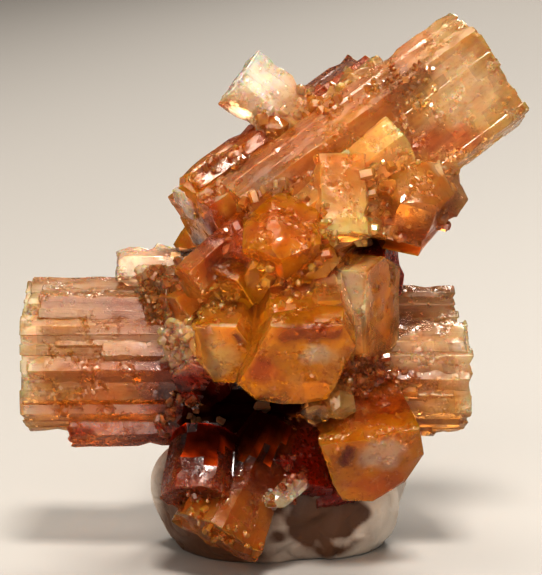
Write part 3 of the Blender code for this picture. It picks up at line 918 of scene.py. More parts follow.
def grain_group() -> bpy.types.NodeTree:
    """Tiny facets: each cell is a plane through its middle that leans its own random way.

    Returns:
        A group with the planes' Height in metres and a random value for each cell.
    """
    tree, web, entry, leave = new_group(
        "tiny_facets", {"Scale": 3000.0, "Slope": 0.5},
        {"Height": "NodeSocketFloat", "Cells": "NodeSocketFloat"})
    place = web.add("ShaderNodeTexCoord").outputs["Object"]
    cells = web.add("ShaderNodeTexVoronoi", {"Vector": place, "Scale": entry["Scale"]})
    offset = web.add("ShaderNodeVectorMath", {0: place, 1: cells.outputs["Position"]},
                     operation="SUBTRACT")
    lean = web.add("ShaderNodeVectorMath", {0: cells.outputs["Color"], 1: (0.5, 0.5, 0.5)},
                   operation="SUBTRACT")
    rise = web.add("ShaderNodeVectorMath", {0: offset.outputs[0], 1: lean.outputs[0]},
                   operation="DOT_PRODUCT")
    height = web.math("MULTIPLY", rise.outputs["Value"], entry["Slope"])
    split = web.add("ShaderNodeSeparateColor", {0: cells.outputs["Color"]})
    tree.links.new(height, leave.inputs["Height"])
    tree.links.new(split.outputs[0], leave.inputs["Cells"])
    return tree


def new_material(name: str) -> tuple[bpy.types.Material, Web, bpy.types.Node]:
    """Make a node material that holds its Principled shader.

    Args:
        name: The material's name.

    Returns:
        The material, a web over its nodes and the shader.
    """
    material = bpy.data.materials.new(name)
    material.use_nodes = True
    web = Web(material.node_tree)
    return material, web, material.node_tree.nodes["Principled BSDF"]


def set_sockets(shader: bpy.types.Node, values: dict) -> None:
    """Set plain values on a shader's own sockets."""
    for name, value in values.items():
        shader.inputs[name].default_value = value


@dataclass(frozen=True)
class CrystalFinish:
    """Translucent banded aragonite, tinted by the mesh's own colour attribute.

    Scatter is how far light wanders under the surface in mm, and clear the share of light that
    passes straight through. Gloss is the roughness. Ridge is the height of the lengthwise ridges
    in mm, facet the slope of the tiny facets, facet_size their width in mm and sugar how much of
    the surface they cover. Speckle is how strongly the small dark and pale specks show, coat the
    strength of the outer gloss and shine that of the plain reflection.
    """

    name: str
    scatter: float = 3.0
    clear: float = 0.85
    gloss: float = 0.20
    ridge: float = 0.03
    facet: float = 0.45
    facet_size: float = 0.36
    sugar: float = 0.5
    speckle: float = 0.5
    coat: float = 0.1
    shine: float = 0.3
    ior: float = 1.54

    def colour(self, web: Web, groups: dict[str, bpy.types.NodeTree],
               streaked: bpy.types.NodeSocket) -> bpy.types.NodeSocket:
        """Lay streaks, milky clouds and specks over the tint.

        Args:
            web: The material's nodes.
            groups: The shared node groups by name.
            streaked: The mask of the lengthwise streaks.

        Returns:
            The colour.
        """
        tint = web.add("ShaderNodeAttribute", attribute_name="tint").outputs["Color"]
        milk = web.add("ShaderNodeGroup", {"Scale": 260.0, "Low": 0.50, "High": 0.72},
                       node_tree=groups["mottle"])
        blots = web.add("ShaderNodeGroup", {"Scale": 620.0, "Low": 0.48, "High": 0.66,
                                            "Seed": 7.0}, node_tree=groups["mottle"])
        specks = web.add("ShaderNodeGroup", {"Scale": 1700.0, "Low": 0.55, "High": 0.66,
                                             "Seed": 4.0}, node_tree=groups["mottle"])
        dust = web.add("ShaderNodeGroup", {"Scale": 1500.0, "Low": 0.58, "High": 0.70,
                                           "Seed": 9.0}, node_tree=groups["mottle"])
        red = web.add("ShaderNodeSeparateColor", {0: tint}).outputs[0]
        light = web.ramp(red, 0.10, 0.55)
        milky = web.math("MULTIPLY", milk.outputs["Patches"], light)
        dusty = web.math("MULTIPLY", dust.outputs["Patches"], light)
        deep = web.mix(1.0, tint, (0.62, 0.38, 0.22, 1.0), "MULTIPLY")
        pale = web.mix(0.55, tint, (0.80, 0.56, 0.40, 1.0))
        colour = web.mix(web.math("MULTIPLY", streaked, 0.4), tint, deep)
        colour = web.mix(web.math("MULTIPLY", milky, 0.35), colour, pale)
        colour = web.mix(web.math("MULTIPLY", blots.outputs["Patches"], 0.35), colour, deep)
        colour = web.mix(web.math("MULTIPLY", specks.outputs["Patches"], self.speckle), colour,
                         deep)
        return web.mix(web.math("MULTIPLY", dusty, self.speckle), colour, pale)

    def material(self, groups: dict[str, bpy.types.NodeTree]) -> bpy.types.Material:
        """Build the material.

        Args:
            groups: The shared node groups by name.

        Returns:
            The material.
        """
        material, web, shader = new_material(self.name)
        grain = web.add("ShaderNodeAttribute", attribute_name="grain").outputs["Vector"]
        flank = web.add("ShaderNodeAttribute", attribute_name="flank").outputs["Fac"]
        streaks = web.add("ShaderNodeGroup", {"Grain": grain}, node_tree=groups["streaks"])
        streaked = web.math("MULTIPLY", streaks.outputs["Streaks"], flank)
        web.tree.links.new(self.colour(web, groups, streaked), shader.inputs["Base Color"])
        cover = web.add("ShaderNodeGroup", {"Scale": 420.0, "Low": 0.62 - 0.35 * self.sugar,
                                            "High": 0.72 - 0.30 * self.sugar, "Seed": 12.0},
                        node_tree=groups["mottle"])
        facets = web.add("ShaderNodeGroup", {"Scale": 1.0 / (self.facet_size * MM),
                                             "Slope": self.facet}, node_tree=groups["grain"])
        sugar = web.math("MULTIPLY", facets.outputs["Height"], cover.outputs["Patches"])
        ridges = web.math("MULTIPLY", streaks.outputs["Ridges"], flank)
        height = web.math("MULTIPLY_ADD", ridges, self.ridge * MM, sugar)
        height = web.math("MULTIPLY_ADD", cover.outputs["Raw"], 0.10 * MM, height)
        rough = web.math("MULTIPLY_ADD", facets.outputs["Cells"], 0.16, self.gloss - 0.08)
        web.tree.links.new(web.math("MAXIMUM", rough, 0.05), shader.inputs["Roughness"])
        bump = web.add("ShaderNodeBump", {"Height": height, "Distance": 1.0, "Strength": 1.0})
        web.tree.links.new(bump.outputs["Normal"], shader.inputs["Normal"])
        set_sockets(shader, {
            "IOR": self.ior, "Subsurface Weight": 1.0, "Subsurface Radius": (1.0, 0.42, 0.16),
            "Subsurface Scale": self.scatter * MM, "Transmission Weight": self.clear,
            "Coat Weight": self.coat, "Coat Roughness": 0.06, "Specular IOR Level": self.shine,
            "Metallic": 0.0})
        return material


FINISHES = (
    CrystalFinish("aragonite_honey", clear=0.82, facet=1.5, sugar=0.35, gloss=0.18, coat=0.06,
                  shine=0.22),
    CrystalFinish("aragonite_banded", clear=0.80, facet=1.4, ridge=0.05, sugar=0.35, coat=0.15),
    CrystalFinish("aragonite_dark", clear=0.78, facet=1.0, sugar=0.40, gloss=0.28, coat=0.05),
    CrystalFinish("aragonite_crust", clear=0.76, gloss=0.16, sugar=0.0, speckle=0.2),
    CrystalFinish("aragonite_pale", clear=0.70, facet=1.4, sugar=0.35, coat=0.15),
    # Flat black finish for faces deep in the cavities: painted shade
    CrystalFinish("aragonite_painted_shade", clear=0.0, gloss=0.85, coat=0.0, shine=0.0, speckle=0.0),
)


@dataclass(frozen=True)
class PuttyFinish:
    """Handled grey-white mounting putty: smooth, faintly translucent, a little dirty, with painted
    shade.
    """

    name: str = "putty"
    colour: Colour = (0.74, 0.67, 0.59)
    grime_and_shade_colour: Colour = (0.100, 0.042, 0.016)

    def material(self, groups: dict[str, bpy.types.NodeTree]) -> bpy.types.Material:
        """Build the material.

        Args:
            groups: The shared node groups by name.

        Returns:
            The material.
        """
        material, web, shader = new_material(self.name)
        broad = web.add("ShaderNodeGroup", {"Scale": 160.0, "Low": 0.45, "High": 0.75},
                        node_tree=groups["mottle"])
        fine = web.add("ShaderNodeGroup", {"Scale": 1300.0, "Low": 0.4, "High": 0.8,
                                           "Seed": 2.0}, node_tree=groups["mottle"])
        painted_shade = web.add("ShaderNodeAttribute", attribute_name="painted_shade").outputs["Fac"]
        # Painted shade from the mesh, plus soft dirty patches
        painted_shade_and_patches = web.math("MULTIPLY_ADD", broad.outputs["Patches"], 0.25, painted_shade)
        painted_shade_and_patches = web.math("MINIMUM", painted_shade_and_patches, 1.0)
        colour = web.mix(painted_shade_and_patches, (*self.colour, 1.0), (*self.grime_and_shade_colour, 1.0))
        web.tree.links.new(colour, shader.inputs["Base Color"])
        rough = web.math("MULTIPLY_ADD", fine.outputs["Raw"], 0.3, 0.25)
        web.tree.links.new(rough, shader.inputs["Roughness"])
        bump = web.add("ShaderNodeBump", {"Height": fine.outputs["Raw"], "Distance": 0.08 * MM})
        web.tree.links.new(bump.outputs["Normal"], shader.inputs["Normal"])
        set_sockets(shader, {"Subsurface Weight": 1.0, "Subsurface Radius": (1.0, 0.9, 0.8),
                             "Subsurface Scale": 1.5 * MM, "IOR": 1.5})
        return material


@dataclass(frozen=True)
class Stain:
    """A patch of another colour, an ellipsoid in mm whose edge wanders with smooth noise."""

    place: Point
    reach: Point
    colour: Colour
    strength: float = 1.0

    def share(self, points: Array) -> Array:
        """How much of the stain shows.

        Args:
            points: Positions in mm.

        Returns:
            The share at each point, from 0 to the stain's strength.
        """
        offset = (points - np.array(self.place)) / np.array(self.reach)
        gap = np.linalg.norm(offset, axis=1) + 0.25 * ripple(points, 2.2, 73)
        return self.strength * (1.0 - smoothstep(gap, 0.55, 1.1))


PINK = (0.61, 0.40, 0.25)
PALE = (0.86, 0.68, 0.46)
# Milky white of the crystals' clouds; on the front prism's end face partly a painted highlight
CLOUD_AND_PAINTED_HIGHLIGHT = (0.90, 0.74, 0.60)
GOLD = (0.85, 0.46, 0.10)
ORANGE = (0.56, 0.10, 0.004)
AMBER_DEEP = (0.72, 0.190, 0.002)
BEIGE = (0.84, 0.53, 0.38)
PEACHY = (1.00, 0.66, 0.28)
BLOOD = (0.56, 0.018, 0.001)
# Whitish crystal colour that also carries a painted highlight of the key lamp
WHITE_AND_PAINTED_HIGHLIGHT = (0.97, 0.92, 0.84)
RUSSET = (0.40, 0.060, 0.002)
BROWN = (0.28, 0.085, 0.022)
DEEP_RED = (0.20, 0.014, 0.004)
# Painted shade: near-black colours for the deep cavities between the crystals
PAINTED_BLACK_SHADE = (0.008, 0.0006, 0.0003)
PAINTED_DEEP_SHADE = (0.05, 0.003, 0.001)
# Deep red towards the heart: partly a deeper colour, partly painted shade in the recesses
HEART_RED_AND_PAINTED_SHADE = (0.10, 0.012, 0.004)
BRIGHT_AMBER = (0.95, 0.320, 0.004)
CRUST_TINT = (0.78, 0.37, 0.19)

# Stains: mostly the crystals' own colour; some, marked below, are painted shade, highlight or glow
STAINS = (
    Stain((-16.0, -2.1, 27.2), (9.0, 5.0, 1.3), PINK),
    Stain((-16.0, -5.6, 22.6), (8.0, 3.0, 1.0), PINK, 0.6),
    Stain((-24.2, -3.0, 20.5), (2.0, 8.0, 8.5), PALE, 0.9),
    Stain((-9.6, -5.8, 16.0), (3.0, 4.0, 4.2), DEEP_RED),
    Stain((-10.0, -7.0, 18.4), (2.7, 4.0, 4.4), DEEP_RED, 0.95),
    Stain((-8.6, -7.6, 21.6), (2.2, 4.0, 4.0), DEEP_RED, 0.85),
    Stain((15.5, 0.5, 25.2), (5.5, 5.0, 1.6), PINK, 0.9),
    Stain((15.2, -4.8, 21.0), (5.5, 3.0, 2.6), PALE, 0.6),
    Stain((15.7, -5.3, 16.2), (5.0, 3.0, 2.6), GOLD, 0.5),
    Stain((19.6, -3.0, 19.5), (1.8, 8.0, 6.5), PALE, 0.85),
    Stain((18.8, -3.5, 47.0), (4.5, 4.0, 4.2), PALE, 0.8),
    Stain((17.6, -3.8, 41.6), (6.5, 3.0, 1.7), ORANGE, 0.8),
    Stain((13.2, -1.0, 50.6), (3.4, 4.0, 3.0), ORANGE, 0.5),
    Stain((13.0, -4.4, 47.6), (3.2, 3.0, 2.2), BROWN, 0.75),
    Stain((7.4, -6.8, 43.0), (4.0, 3.0, 3.0), GOLD, 0.6),
    Stain((-4.6, -6.4, 35.2), (3.4, 3.0, 3.0), ORANGE, 0.9),
    # Painted glow: a pale gold spot where light shines through the crystal
    Stain((-4.0, -6.9, 36.6), (1.5, 2.5, 1.5), GOLD),
    Stain((-6.2, -5.3, 33.7), (1.6, 2.4, 1.6), DEEP_RED),
    Stain((-2.6, -11.6, 35.2), (0.9, 1.6, 1.1), DEEP_RED, 0.8),
    Stain((0.1, -9.0, 38.4), (2.6, 2.5, 1.3), PINK, 0.9),
    Stain((-4.8, -4.2, 39.8), (4.5, 3.0, 1.6), BROWN, 0.7),
    Stain((3.2, -17.2, 24.8), (5.6, 2.0, 1.1), RUSSET, 0.9),
    Stain((-0.6, -16.1, 21.0), (1.9, 2.4, 2.0), ORANGE, 1.0),
    Stain((0.9, -12.8, 35.0), (4.6, 3.4, 3.6), AMBER_DEEP, 0.85),
    Stain((-9.2, -9.8, 22.2), (3.0, 3.0, 3.4), BEIGE, 0.85),
    # Whitish tip of the upper-left crystal, partly a painted highlight on its top faces
    Stain((-1.6, -1.2, 48.2), (4.2, 3.4, 2.4), WHITE_AND_PAINTED_HIGHLIGHT, 0.95),
    Stain((-3.9, -1.5, 45.3), (2.4, 2.6, 1.0), GOLD, 0.75),
    # Milky cloud on the front prism's end face, partly a painted highlight
    Stain((4.6, -16.7, 22.9), (2.0, 2.4, 1.1), CLOUD_AND_PAINTED_HIGHLIGHT),
    Stain((-4.8, -13.7, 21.7), (1.8, 2.2, 2.5), PEACHY),
    Stain((-2.8, -14.6, 24.4), (1.3, 2.2, 0.9), DEEP_RED, 0.9),
    Stain((-4.1, -10.4, 34.0), (1.6, 2.0, 1.5), ORANGE, 0.9),
    Stain((-4.6, -11.2, 30.2), (2.4, 2.6, 1.6), DEEP_RED, 0.7),
    Stain((-7.2, -10.6, 28.8), (1.4, 2.0, 1.8), GOLD, 0.5),
    Stain((7.8, -10.6, 27.1), (2.0, 3.0, 4.8), PALE, 0.85),
    Stain((11.8, -7.4, 26.0), (1.9, 2.4, 4.8), BRIGHT_AMBER, 0.9),
    Stain((13.6, -7.6, 38.6), (1.8, 2.0, 1.8), GOLD, 0.5),
    Stain((16.6, -5.9, 39.8), (1.2, 2.0, 1.0), PALE, 0.8),
    Stain((16.8, -7.0, 35.2), (2.2, 3.0, 2.0), BROWN, 0.8),
    Stain((10.5, -12.9, 12.3), (2.4, 2.4, 2.1), CLOUD_AND_PAINTED_HIGHLIGHT),
    Stain((7.3, -13.6, 12.4), (1.0, 2.0, 1.6), DEEP_RED),
    Stain((11.2, -10.8, 8.6), (4.8, 3.0, 2.0), AMBER_DEEP, 0.9),
    Stain((-4.4, -1.2, 44.8), (2.6, 3.0, 0.8), RUSSET, 0.7),
    Stain((-16.4, -4.4, 15.0), (8.6, 5.0, 2.6), AMBER_DEEP, 0.75),
    Stain((-16.4, -6.4, 19.0), (8.6, 4.0, 1.6), AMBER_DEEP, 0.35),
    Stain((-6.6, -11.0, 26.6), (3.4, 3.0, 2.4), GOLD, 0.6),
    # Painted shade: black in the cavity under the front prism and round the heart's lower front
    Stain((-7.0, -13.0, 13.6), (2.6, 2.2, 1.6), PAINTED_BLACK_SHADE, 0.8),
    Stain((-3.4, -8.6, 15.3), (9.6, 9.0, 5.4), PAINTED_DEEP_SHADE, 0.92),
    Stain((-3.4, -8.6, 15.3), (7.6, 7.6, 3.8), PAINTED_BLACK_SHADE),
    # Painted shade: black in two cavities of the upper cluster
    Stain((10.0, -3.7, 32.2), (2.8, 3.5, 1.6), PAINTED_BLACK_SHADE, 0.9),
    Stain((-8.3, -3.5, 30.9), (1.3, 3.0, 1.4), PAINTED_BLACK_SHADE, 0.9),
    Stain((3.2, -7.2, 10.2), (2.8, 5.0, 3.6), BLOOD, 0.9),
    Stain((9.2, -9.0, 20.0), (2.2, 2.0, 1.8), BROWN, 0.6),
)


class Druse(NamedTuple):
    """A patch of a crystal face that small crystals cover: an ellipsoid, their size, how thick."""

    place: Point
    reach: Point
    size: float
    chance: float


DRUSES = (
    Druse((13.2, -4.6, 47.6), (3.4, 2.5, 2.0), 0.26, 0.9),
    Druse((-1.6, -5.2, 40.2), (5.5, 2.5, 1.4), 0.28, 0.8),
    Druse((9.2, -9.2, 20.0), (2.6, 2.5, 2.4), 0.30, 0.9),
    Druse((-8.6, -9.6, 22.4), (2.6, 2.5, 2.4), 0.34, 0.9),
    Druse((1.0, -13.6, 28.4), (2.8, 2.5, 1.2), 0.26, 0.45),
    Druse((10.6, -7.6, 38.6), (1.6, 2.5, 2.0), 0.34, 0.9),
    Druse((-11.0, -6.6, 27.4), (3.0, 2.5, 2.2), 0.34, 0.7),
    Druse((-5.6, -11.8, 26.8), (2.2, 2.5, 2.4), 0.24, 0.5),
    Druse((4.6, -2.6, 45.0), (3.4, 3.0, 1.4), 0.34, 0.7),
    Druse((-2.8, -14.4, 4.6), (3.4, 3.0, 2.4), 0.22, 0.45),
    Druse((-6.6, -14.6, 7.6), (2.6, 2.5, 2.2), 0.22, 0.5),
)


@dataclass
class Crust:
    """Small crystals in the creases between the large ones and in patches on their faces.

    Density is how many places are tried on a square millimetre and depth how far below a large
    crystal's end face, in mm. Crease is how far from a crease small crystals still grow and pitch
    the closest that two of them stand, in mm. Lean is how far they tip away from the crystal
    beside them and spread how much their headings vary.
    """

    density: float = 2.4
    depth: float = 16.0
    crease: float = 0.75
    pitch: float = 0.62
    lean: float = 0.35
    spread: float = 0.42
    size: tuple[float, float] = (0.24, 0.62)
    seed: int = 5

    def tries(self, crystals: list[Crystal]) -> tuple[Array, Array, Array]:
        """Scatter places over the crystals' flanks and end faces.

        Args:
            crystals: The crystals that the small ones may grow on.

        Returns:
            The places, the faces' outward normals and the crystals' places in the list.
        """
        rng = np.random.default_rng(self.seed)
        places, normals, owners = [], [], []
        for index, crystal in enumerate(crystals):
            corners = crystal.corners()
            sides = np.roll(corners, -1, axis=0) - corners
            lengths = np.linalg.norm(sides, axis=1)
            reach = min(crystal.length, self.depth)
            count = int(lengths.sum() * reach * self.density)
            side = rng.choice(len(corners), count, p=lengths / lengths.sum())
            flat = corners[side] + rng.random((count, 1)) * sides[side]
            along = -reach * rng.random(count)
            outward = np.stack([sides[:, 1], -sides[:, 0]], axis=1) / lengths[:, None]
            local = np.column_stack([flat, along])
            facing = np.column_stack([outward[side], np.zeros(count)])
            tops = int(crystal.radius() ** 2 * 2.6 * self.density)
            mix = rng.dirichlet(np.ones(len(corners)) * 0.7, tops)
            local = np.vstack([local, np.column_stack([mix @ corners, np.zeros(tops)])])
            facing = np.vstack([facing, np.tile([0.0, 0.0, 1.0], (tops, 1))])
            frame = crystal.axes()
            places.append(local @ frame + np.array(crystal.end))
            normals.append(facing @ frame)
            owners.append(np.full(len(local), index))
        return np.vstack(places), np.vstack(normals), np.concatenate(owners)

    def chosen(self, cluster: "Cluster") -> tuple[Array, Array, Array, Array]:
        """Keep the places that lie open near a crease or in a patch, and thin them out.

        Args:
            cluster: The crystals that the small ones grow on.

        Returns:
            The places, their headings, their sizes and the crystals that they grow on.
        """
        rng = np.random.default_rng(self.seed + 1)
        places, normals, owners = self.tries(cluster.crystals)
        clearance = cluster.field.clearance(places)
        clearance[np.arange(len(places)), owners] = 99.0
        nearest = clearance.argmin(axis=1)
        room = clearance[np.arange(len(places)), nearest]
        heart = np.linalg.norm((places - np.array(HEART)) / np.array(HEART_SIZE), axis=1)
        along = cluster.field.axes[:, 2]
        parallel = (along[owners] * along[nearest]).sum(axis=1) > 0.85
        creased = (room < self.crease * rng.random(len(places))) & ~parallel
        chance = np.where(creased, 0.8, 0.0)
        chance *= smoothstep(ripple(places, 5.0, self.seed + 2), -0.5, 0.3)
        low, high = self.size
        size = low + (high - low) * rng.random(len(places)) ** 2.2
        for druse in DRUSES:
            gap = np.linalg.norm((places - np.array(druse.place)) / np.array(druse.reach), axis=1)
            inside = gap + 0.3 * ripple(places, 2.0, self.seed + 3) < 1.0
            chance = np.where(inside, np.maximum(chance, druse.chance), chance)
            size = np.where(inside, druse.size * (0.7 + 0.9 * rng.random(len(places)) ** 2), size)
        keep = (room > -0.05) & (heart > 1.02) & (rng.random(len(places)) < chance)
        spot = np.flatnonzero(keep)
        cell = np.floor(places[spot] / self.pitch).astype(int)
        spot = spot[np.unique(cell, axis=0, return_index=True)[1]]
        away = cluster.field.axes[nearest[spot], 2] * self.lean
        heading = normals[spot] + away + rng.normal(0.0, self.spread, (len(spot), 3))
        heading /= np.linalg.norm(heading, axis=1, keepdims=True)
        return places[spot], heading, size[spot], owners[spot]

    def shells(self, cluster: "Cluster", low: Array, high: Array) -> list[tuple[Array, int]]:
        """Make the small crystals: six-sided, with a slanting top, sunk in what they grow on.

        Args:
            cluster: The crystals that they grow on.
            low: The lowest corner of the room that they must stay in, in mm.
            high: Its highest corner.

        Returns:
            For each small crystal its corners, ring by ring, and the crystal it grows on.
        """
        rng = np.random.default_rng(self.seed + 4)
        place, heading, size, owner = self.chosen(cluster)
        count = len(place)
        side = np.cross(heading, rng.normal(size=(count, 3)))
        side /= np.linalg.norm(side, axis=1, keepdims=True)
        up = np.cross(heading, side)
        turn = np.radians(60.0 * np.arange(6)) + rng.uniform(-0.12, 0.12, (count, 6))
        wide = size[:, None] * rng.uniform(0.85, 1.2, (count, 6))
        tall = size * rng.uniform(0.5, 1.7, count)
        levels = np.stack([-0.9 * size, tall, tall + 0.35 * size], axis=1)
        widths = np.stack([np.ones(count), np.ones(count), rng.uniform(0.25, 0.75, count)], axis=1)
        slant = rng.normal(0.0, 0.25, (count, 1, 1)) * np.cos(turn)[:, None, :]
        slant = slant * size[:, None, None] * np.array([0.0, 1.0, 1.0])[:, None]
        ring = wide[:, None, :] * widths[:, :, None]
        points = (place[:, None, None, :]
                  + (ring * np.cos(turn)[:, None, :])[..., None] * side[:, None, None, :]
                  + (ring * np.sin(turn)[:, None, :])[..., None] * up[:, None, None, :]
                  + (levels[:, :, None] + slant)[..., None] * heading[:, None, None, :])
        points = points.reshape(count, 18, 3)
        inside = ((points > low) & (points < high)).all(axis=(1, 2))
        return [(corners, int(host)) for corners, host in zip(points[inside], owner[inside])]


@dataclass
class Cluster:
    """The crystals, grown together in one closed body.

    The fillers are the short prisms that cover the heart: their number, how far their ends lie
    from its middle and their radius, in mm. core_shade is how far from the middle the darkening
    towards the heart ends, from full to none, and its share; that darkening is partly a deeper
    colour and partly painted shade in the recesses. Room holds the lowest and highest corner for
    the crust.
    """

    arms: tuple = ARMS
    filler_count: int = 84
    filler_reach: tuple[float, float] = (10.2, 12.6)
    filler_radius: tuple[float, float] = (1.5, 2.7)
    core_shade: tuple[float, float, float] = (7.6, 12.5, 0.85)
    crust_share: float = 0.22
    stains: tuple[Stain, ...] = STAINS
    crust: Crust = field(default_factory=Crust)
    room: tuple[Array, Array] = (np.full(3, -99.0), np.full(3, 99.0))
    crystals: list[Crystal] = field(default_factory=list)

    def __post_init__(self) -> None:
        """List every crystal: the arms', their ribs and those that cover the heart."""
        self.crystals = [crystal for arm in self.arms for crystal in arm]
        self.crystals += self.ribs()
        self.crystals += self.fillers()
        self.field = Field(self.crystals)

    def ribs(self) -> list[Crystal]:
        """Lay the ribs along their arms as thin prisms parallel to them.

        Returns:
            The ribs.
        """
        made = []
        for arm, distance, places in RIBS:
            side, up, along = arm.axes()
            for turn, radius, setback in places:
                angle = math.radians(turn)
                out = side * math.sin(angle) + up * math.cos(angle)
                end = np.array(arm.end) + out * distance - along * setback
                length = max(4.0, arm.length - setback - 6.0)
                made.append(Crystal(tuple(end), arm.azimuth, arm.climb, length,
                                    hexagon(radius, 27.0 + 4.0 * math.sin(len(made))), arm.tone,
                                    Habit.STRIATED))
        return made

    def fillers(self) -> list[Crystal]:
        """Spread small prisms evenly round the heart on a spiral from pole to pole.

        Returns:
            The prisms.
        """
        golden = math.pi * (3.0 - math.sqrt(5.0))
        tones = (Tone.RED, Tone.RUST, Tone.EMBER, Tone.RED, Tone.OLIVE)
        made = []
        for index in range(self.filler_count):
            height = 1.0 - 2.0 * (index + 0.5) / self.filler_count
            azimuth = index * golden
            climb = math.asin(height)
            wave = 0.5 + 0.5 * math.sin(2.4 * index)
            other = 0.5 + 0.5 * math.sin(5.1 * index + 1.0)
            reach = self.filler_reach[0] + (self.filler_reach[1] - self.filler_reach[0]) * wave
            radius = self.filler_radius[0] + (self.filler_radius[1] - self.filler_radius[0]) * other
            way = np.array([math.cos(azimuth) * math.cos(climb),
                            math.sin(azimuth) * math.cos(climb), math.sin(climb)])
            lean = 14.0 * math.sin(3.7 * index)
            made.append(Crystal(tuple(np.array(HEART) + way * reach),
                                math.degrees(azimuth) + lean, math.degrees(climb) + 0.6 * lean,
                                6.5, hexagon(radius, 25.0 * index, 0.9),
                                tones[index % len(tones)], Habit.SMALL,
                                crown=(0.25 + 0.4 * wave, 0.5 + 0.5 * other)))
        return made

    def heart(self) -> bpy.types.Mesh:
        """Make the lump in which the crystals meet: a sphere grid stretched to three sizes.

        Returns:
            The closed mesh.
        """
        turns, rises = 24, 12
        rise, turn = globe_angles(turns, rises)
        grid = np.stack([np.sin(rise) * np.cos(turn), np.sin(rise) * np.sin(turn),
                         np.cos(rise) * np.ones_like(turn)], axis=-1).reshape(-1, 3)
        points = np.vstack([grid, [[0.0, 0.0, 1.0], [0.0, 0.0, -1.0]]])
        points = points * np.array(HEART_SIZE) + np.array(HEART)
        faces = globe_faces(turns, rises)
        return Shell(points, faces, [Part.FLANK] * len(faces)).mesh("heart", 0)

    def joined(self) -> bpy.types.Mesh:
        """Join the carved crystals and the heart, and keep the outer body alone.

        Returns:
            The closed mesh, whose faces still know their crystal.
        """
        shapes = bpy.data.collections.new("crystal_shapes")
        bpy.context.scene.collection.children.link(shapes)
        for index, crystal in enumerate(self.crystals):
            mesh = Carver(crystal, 11 + 17 * index).shell().mesh(f"shape_{index:03d}", index)
            shapes.objects.link(bpy.data.objects.new(mesh.name, mesh))
        for index, (corners, host) in enumerate(self.crust.shells(self, *self.room)):
            mesh = small_shell(corners).mesh(f"small_{index:04d}", host)
            shapes.objects.link(bpy.data.objects.new(mesh.name, mesh))
        base = bpy.data.objects.new("heart", self.heart())
        bpy.context.scene.collection.objects.link(base)
        union = base.modifiers.new("join", "BOOLEAN")
        union.operation = "UNION"
        union.operand_type = "COLLECTION"
        union.collection = shapes
        union.solver = "MANIFOLD"
        graph = bpy.context.evaluated_depsgraph_get()
        graph.update()
        mesh = bpy.data.meshes.new_from_object(base.evaluated_get(graph))
        for item in [base, *shapes.objects]:
            bpy.data.objects.remove(item, do_unlink=True)
        bpy.data.collections.remove(shapes)
        return keep_largest(mesh)

    def tint(self, points: Array, owner: Array, along: Array) -> Array:
        """Colour of points on the cluster.

        A crystal goes from its tip's colour to its root's over the first part of its length,
        everything darkens and reddens towards the heart, partly a deeper colour and partly painted
        shade in the recesses, and stains lie over that, some of them painted shade, highlights or a
        glow.

        Args:
            points: Positions in mm.
            owner: The crystal of each point.
            along: The distance behind the crystal's end face, in mm.

        Returns:
            Linear colours.
        """
        tips = np.array([crystal.tone.value.tip for crystal in self.crystals])[owner]
        roots = np.array([crystal.tone.value.root for crystal in self.crystals])[owner]
        reach = np.clip(self.field.lengths[owner] * 0.55, 3.0, 14.0)
        share = smoothstep(along / reach + 0.25 * ripple(points, 5.0, 71), 0.1, 1.1)
        colour = tips + (roots - tips) * share[:, None]
        # Darkening towards the heart: partly a deeper colour, partly painted shade in the recesses
        distance = np.linalg.norm((points - np.array(HEART)) / np.array([1.25, 1.2, 1.15]), axis=1)
        near, far, most = self.core_shade
        core_shade = 1.0 - smoothstep(distance + 0.8 * ripple(points, 3.5, 72), near, far)
        colour = colour + (np.array(HEART_RED_AND_PAINTED_SHADE) - colour) * (most * core_shade)[:, None]
        for stain in self.stains:
            share = stain.share(points)
            colour = colour + (np.array(stain.colour) - colour) * share[:, None]
        return np.clip(colour, 0.0, 1.0)

    def stained(self, points: Array, colours: set[Colour]) -> Array:
        """Share of the strongest stain in one of some colours.

        Args:
            points: Positions in mm.
            colours: The stains' colours.

        Returns:
            The share at each point.
        """
        shares = [stain.share(points) for stain in self.stains if stain.colour in colours]
        return np.max(shares, axis=0)

    def looks(self, points: Array, owner: Array, crust: Array) -> Array:
        """Pick the finish of points on the cluster.

        A crystal's habit and tone pick its finish, pale stains override it (one of them partly a
        painted highlight), the black painted-shade stains set a flat black painted-shade finish, and
        the small crystals have their own.

        Args:
            points: Positions in mm.
            owner: The crystal of each point.
            crust: Whether each point is on a small crystal of the crust.

        Returns:
            A Look for each point, as a number.
        """
        own = np.array([int(Look.BANDED if crystal.habit is Habit.STRIATED else Look.HONEY)
                        for crystal in self.crystals])
        tones = [crystal.tone for crystal in self.crystals]
        own[[tone in DARK_TONES for tone in tones]] = Look.DARK
        own[[tone in PALE_TONES for tone in tones]] = Look.PALE
        look = np.where(crust, int(Look.CRUST), own[owner])
        look[(self.stained(points, {PALE, WHITE_AND_PAINTED_HIGHLIGHT}) > 0.5) & (look < Look.DARK)] = Look.PALE
        # Faces deep in the painted black shade take the flat black painted-shade finish
        look[self.stained(points, {PAINTED_BLACK_SHADE}) > 0.5] = Look.PAINTED_SHADE
        return look

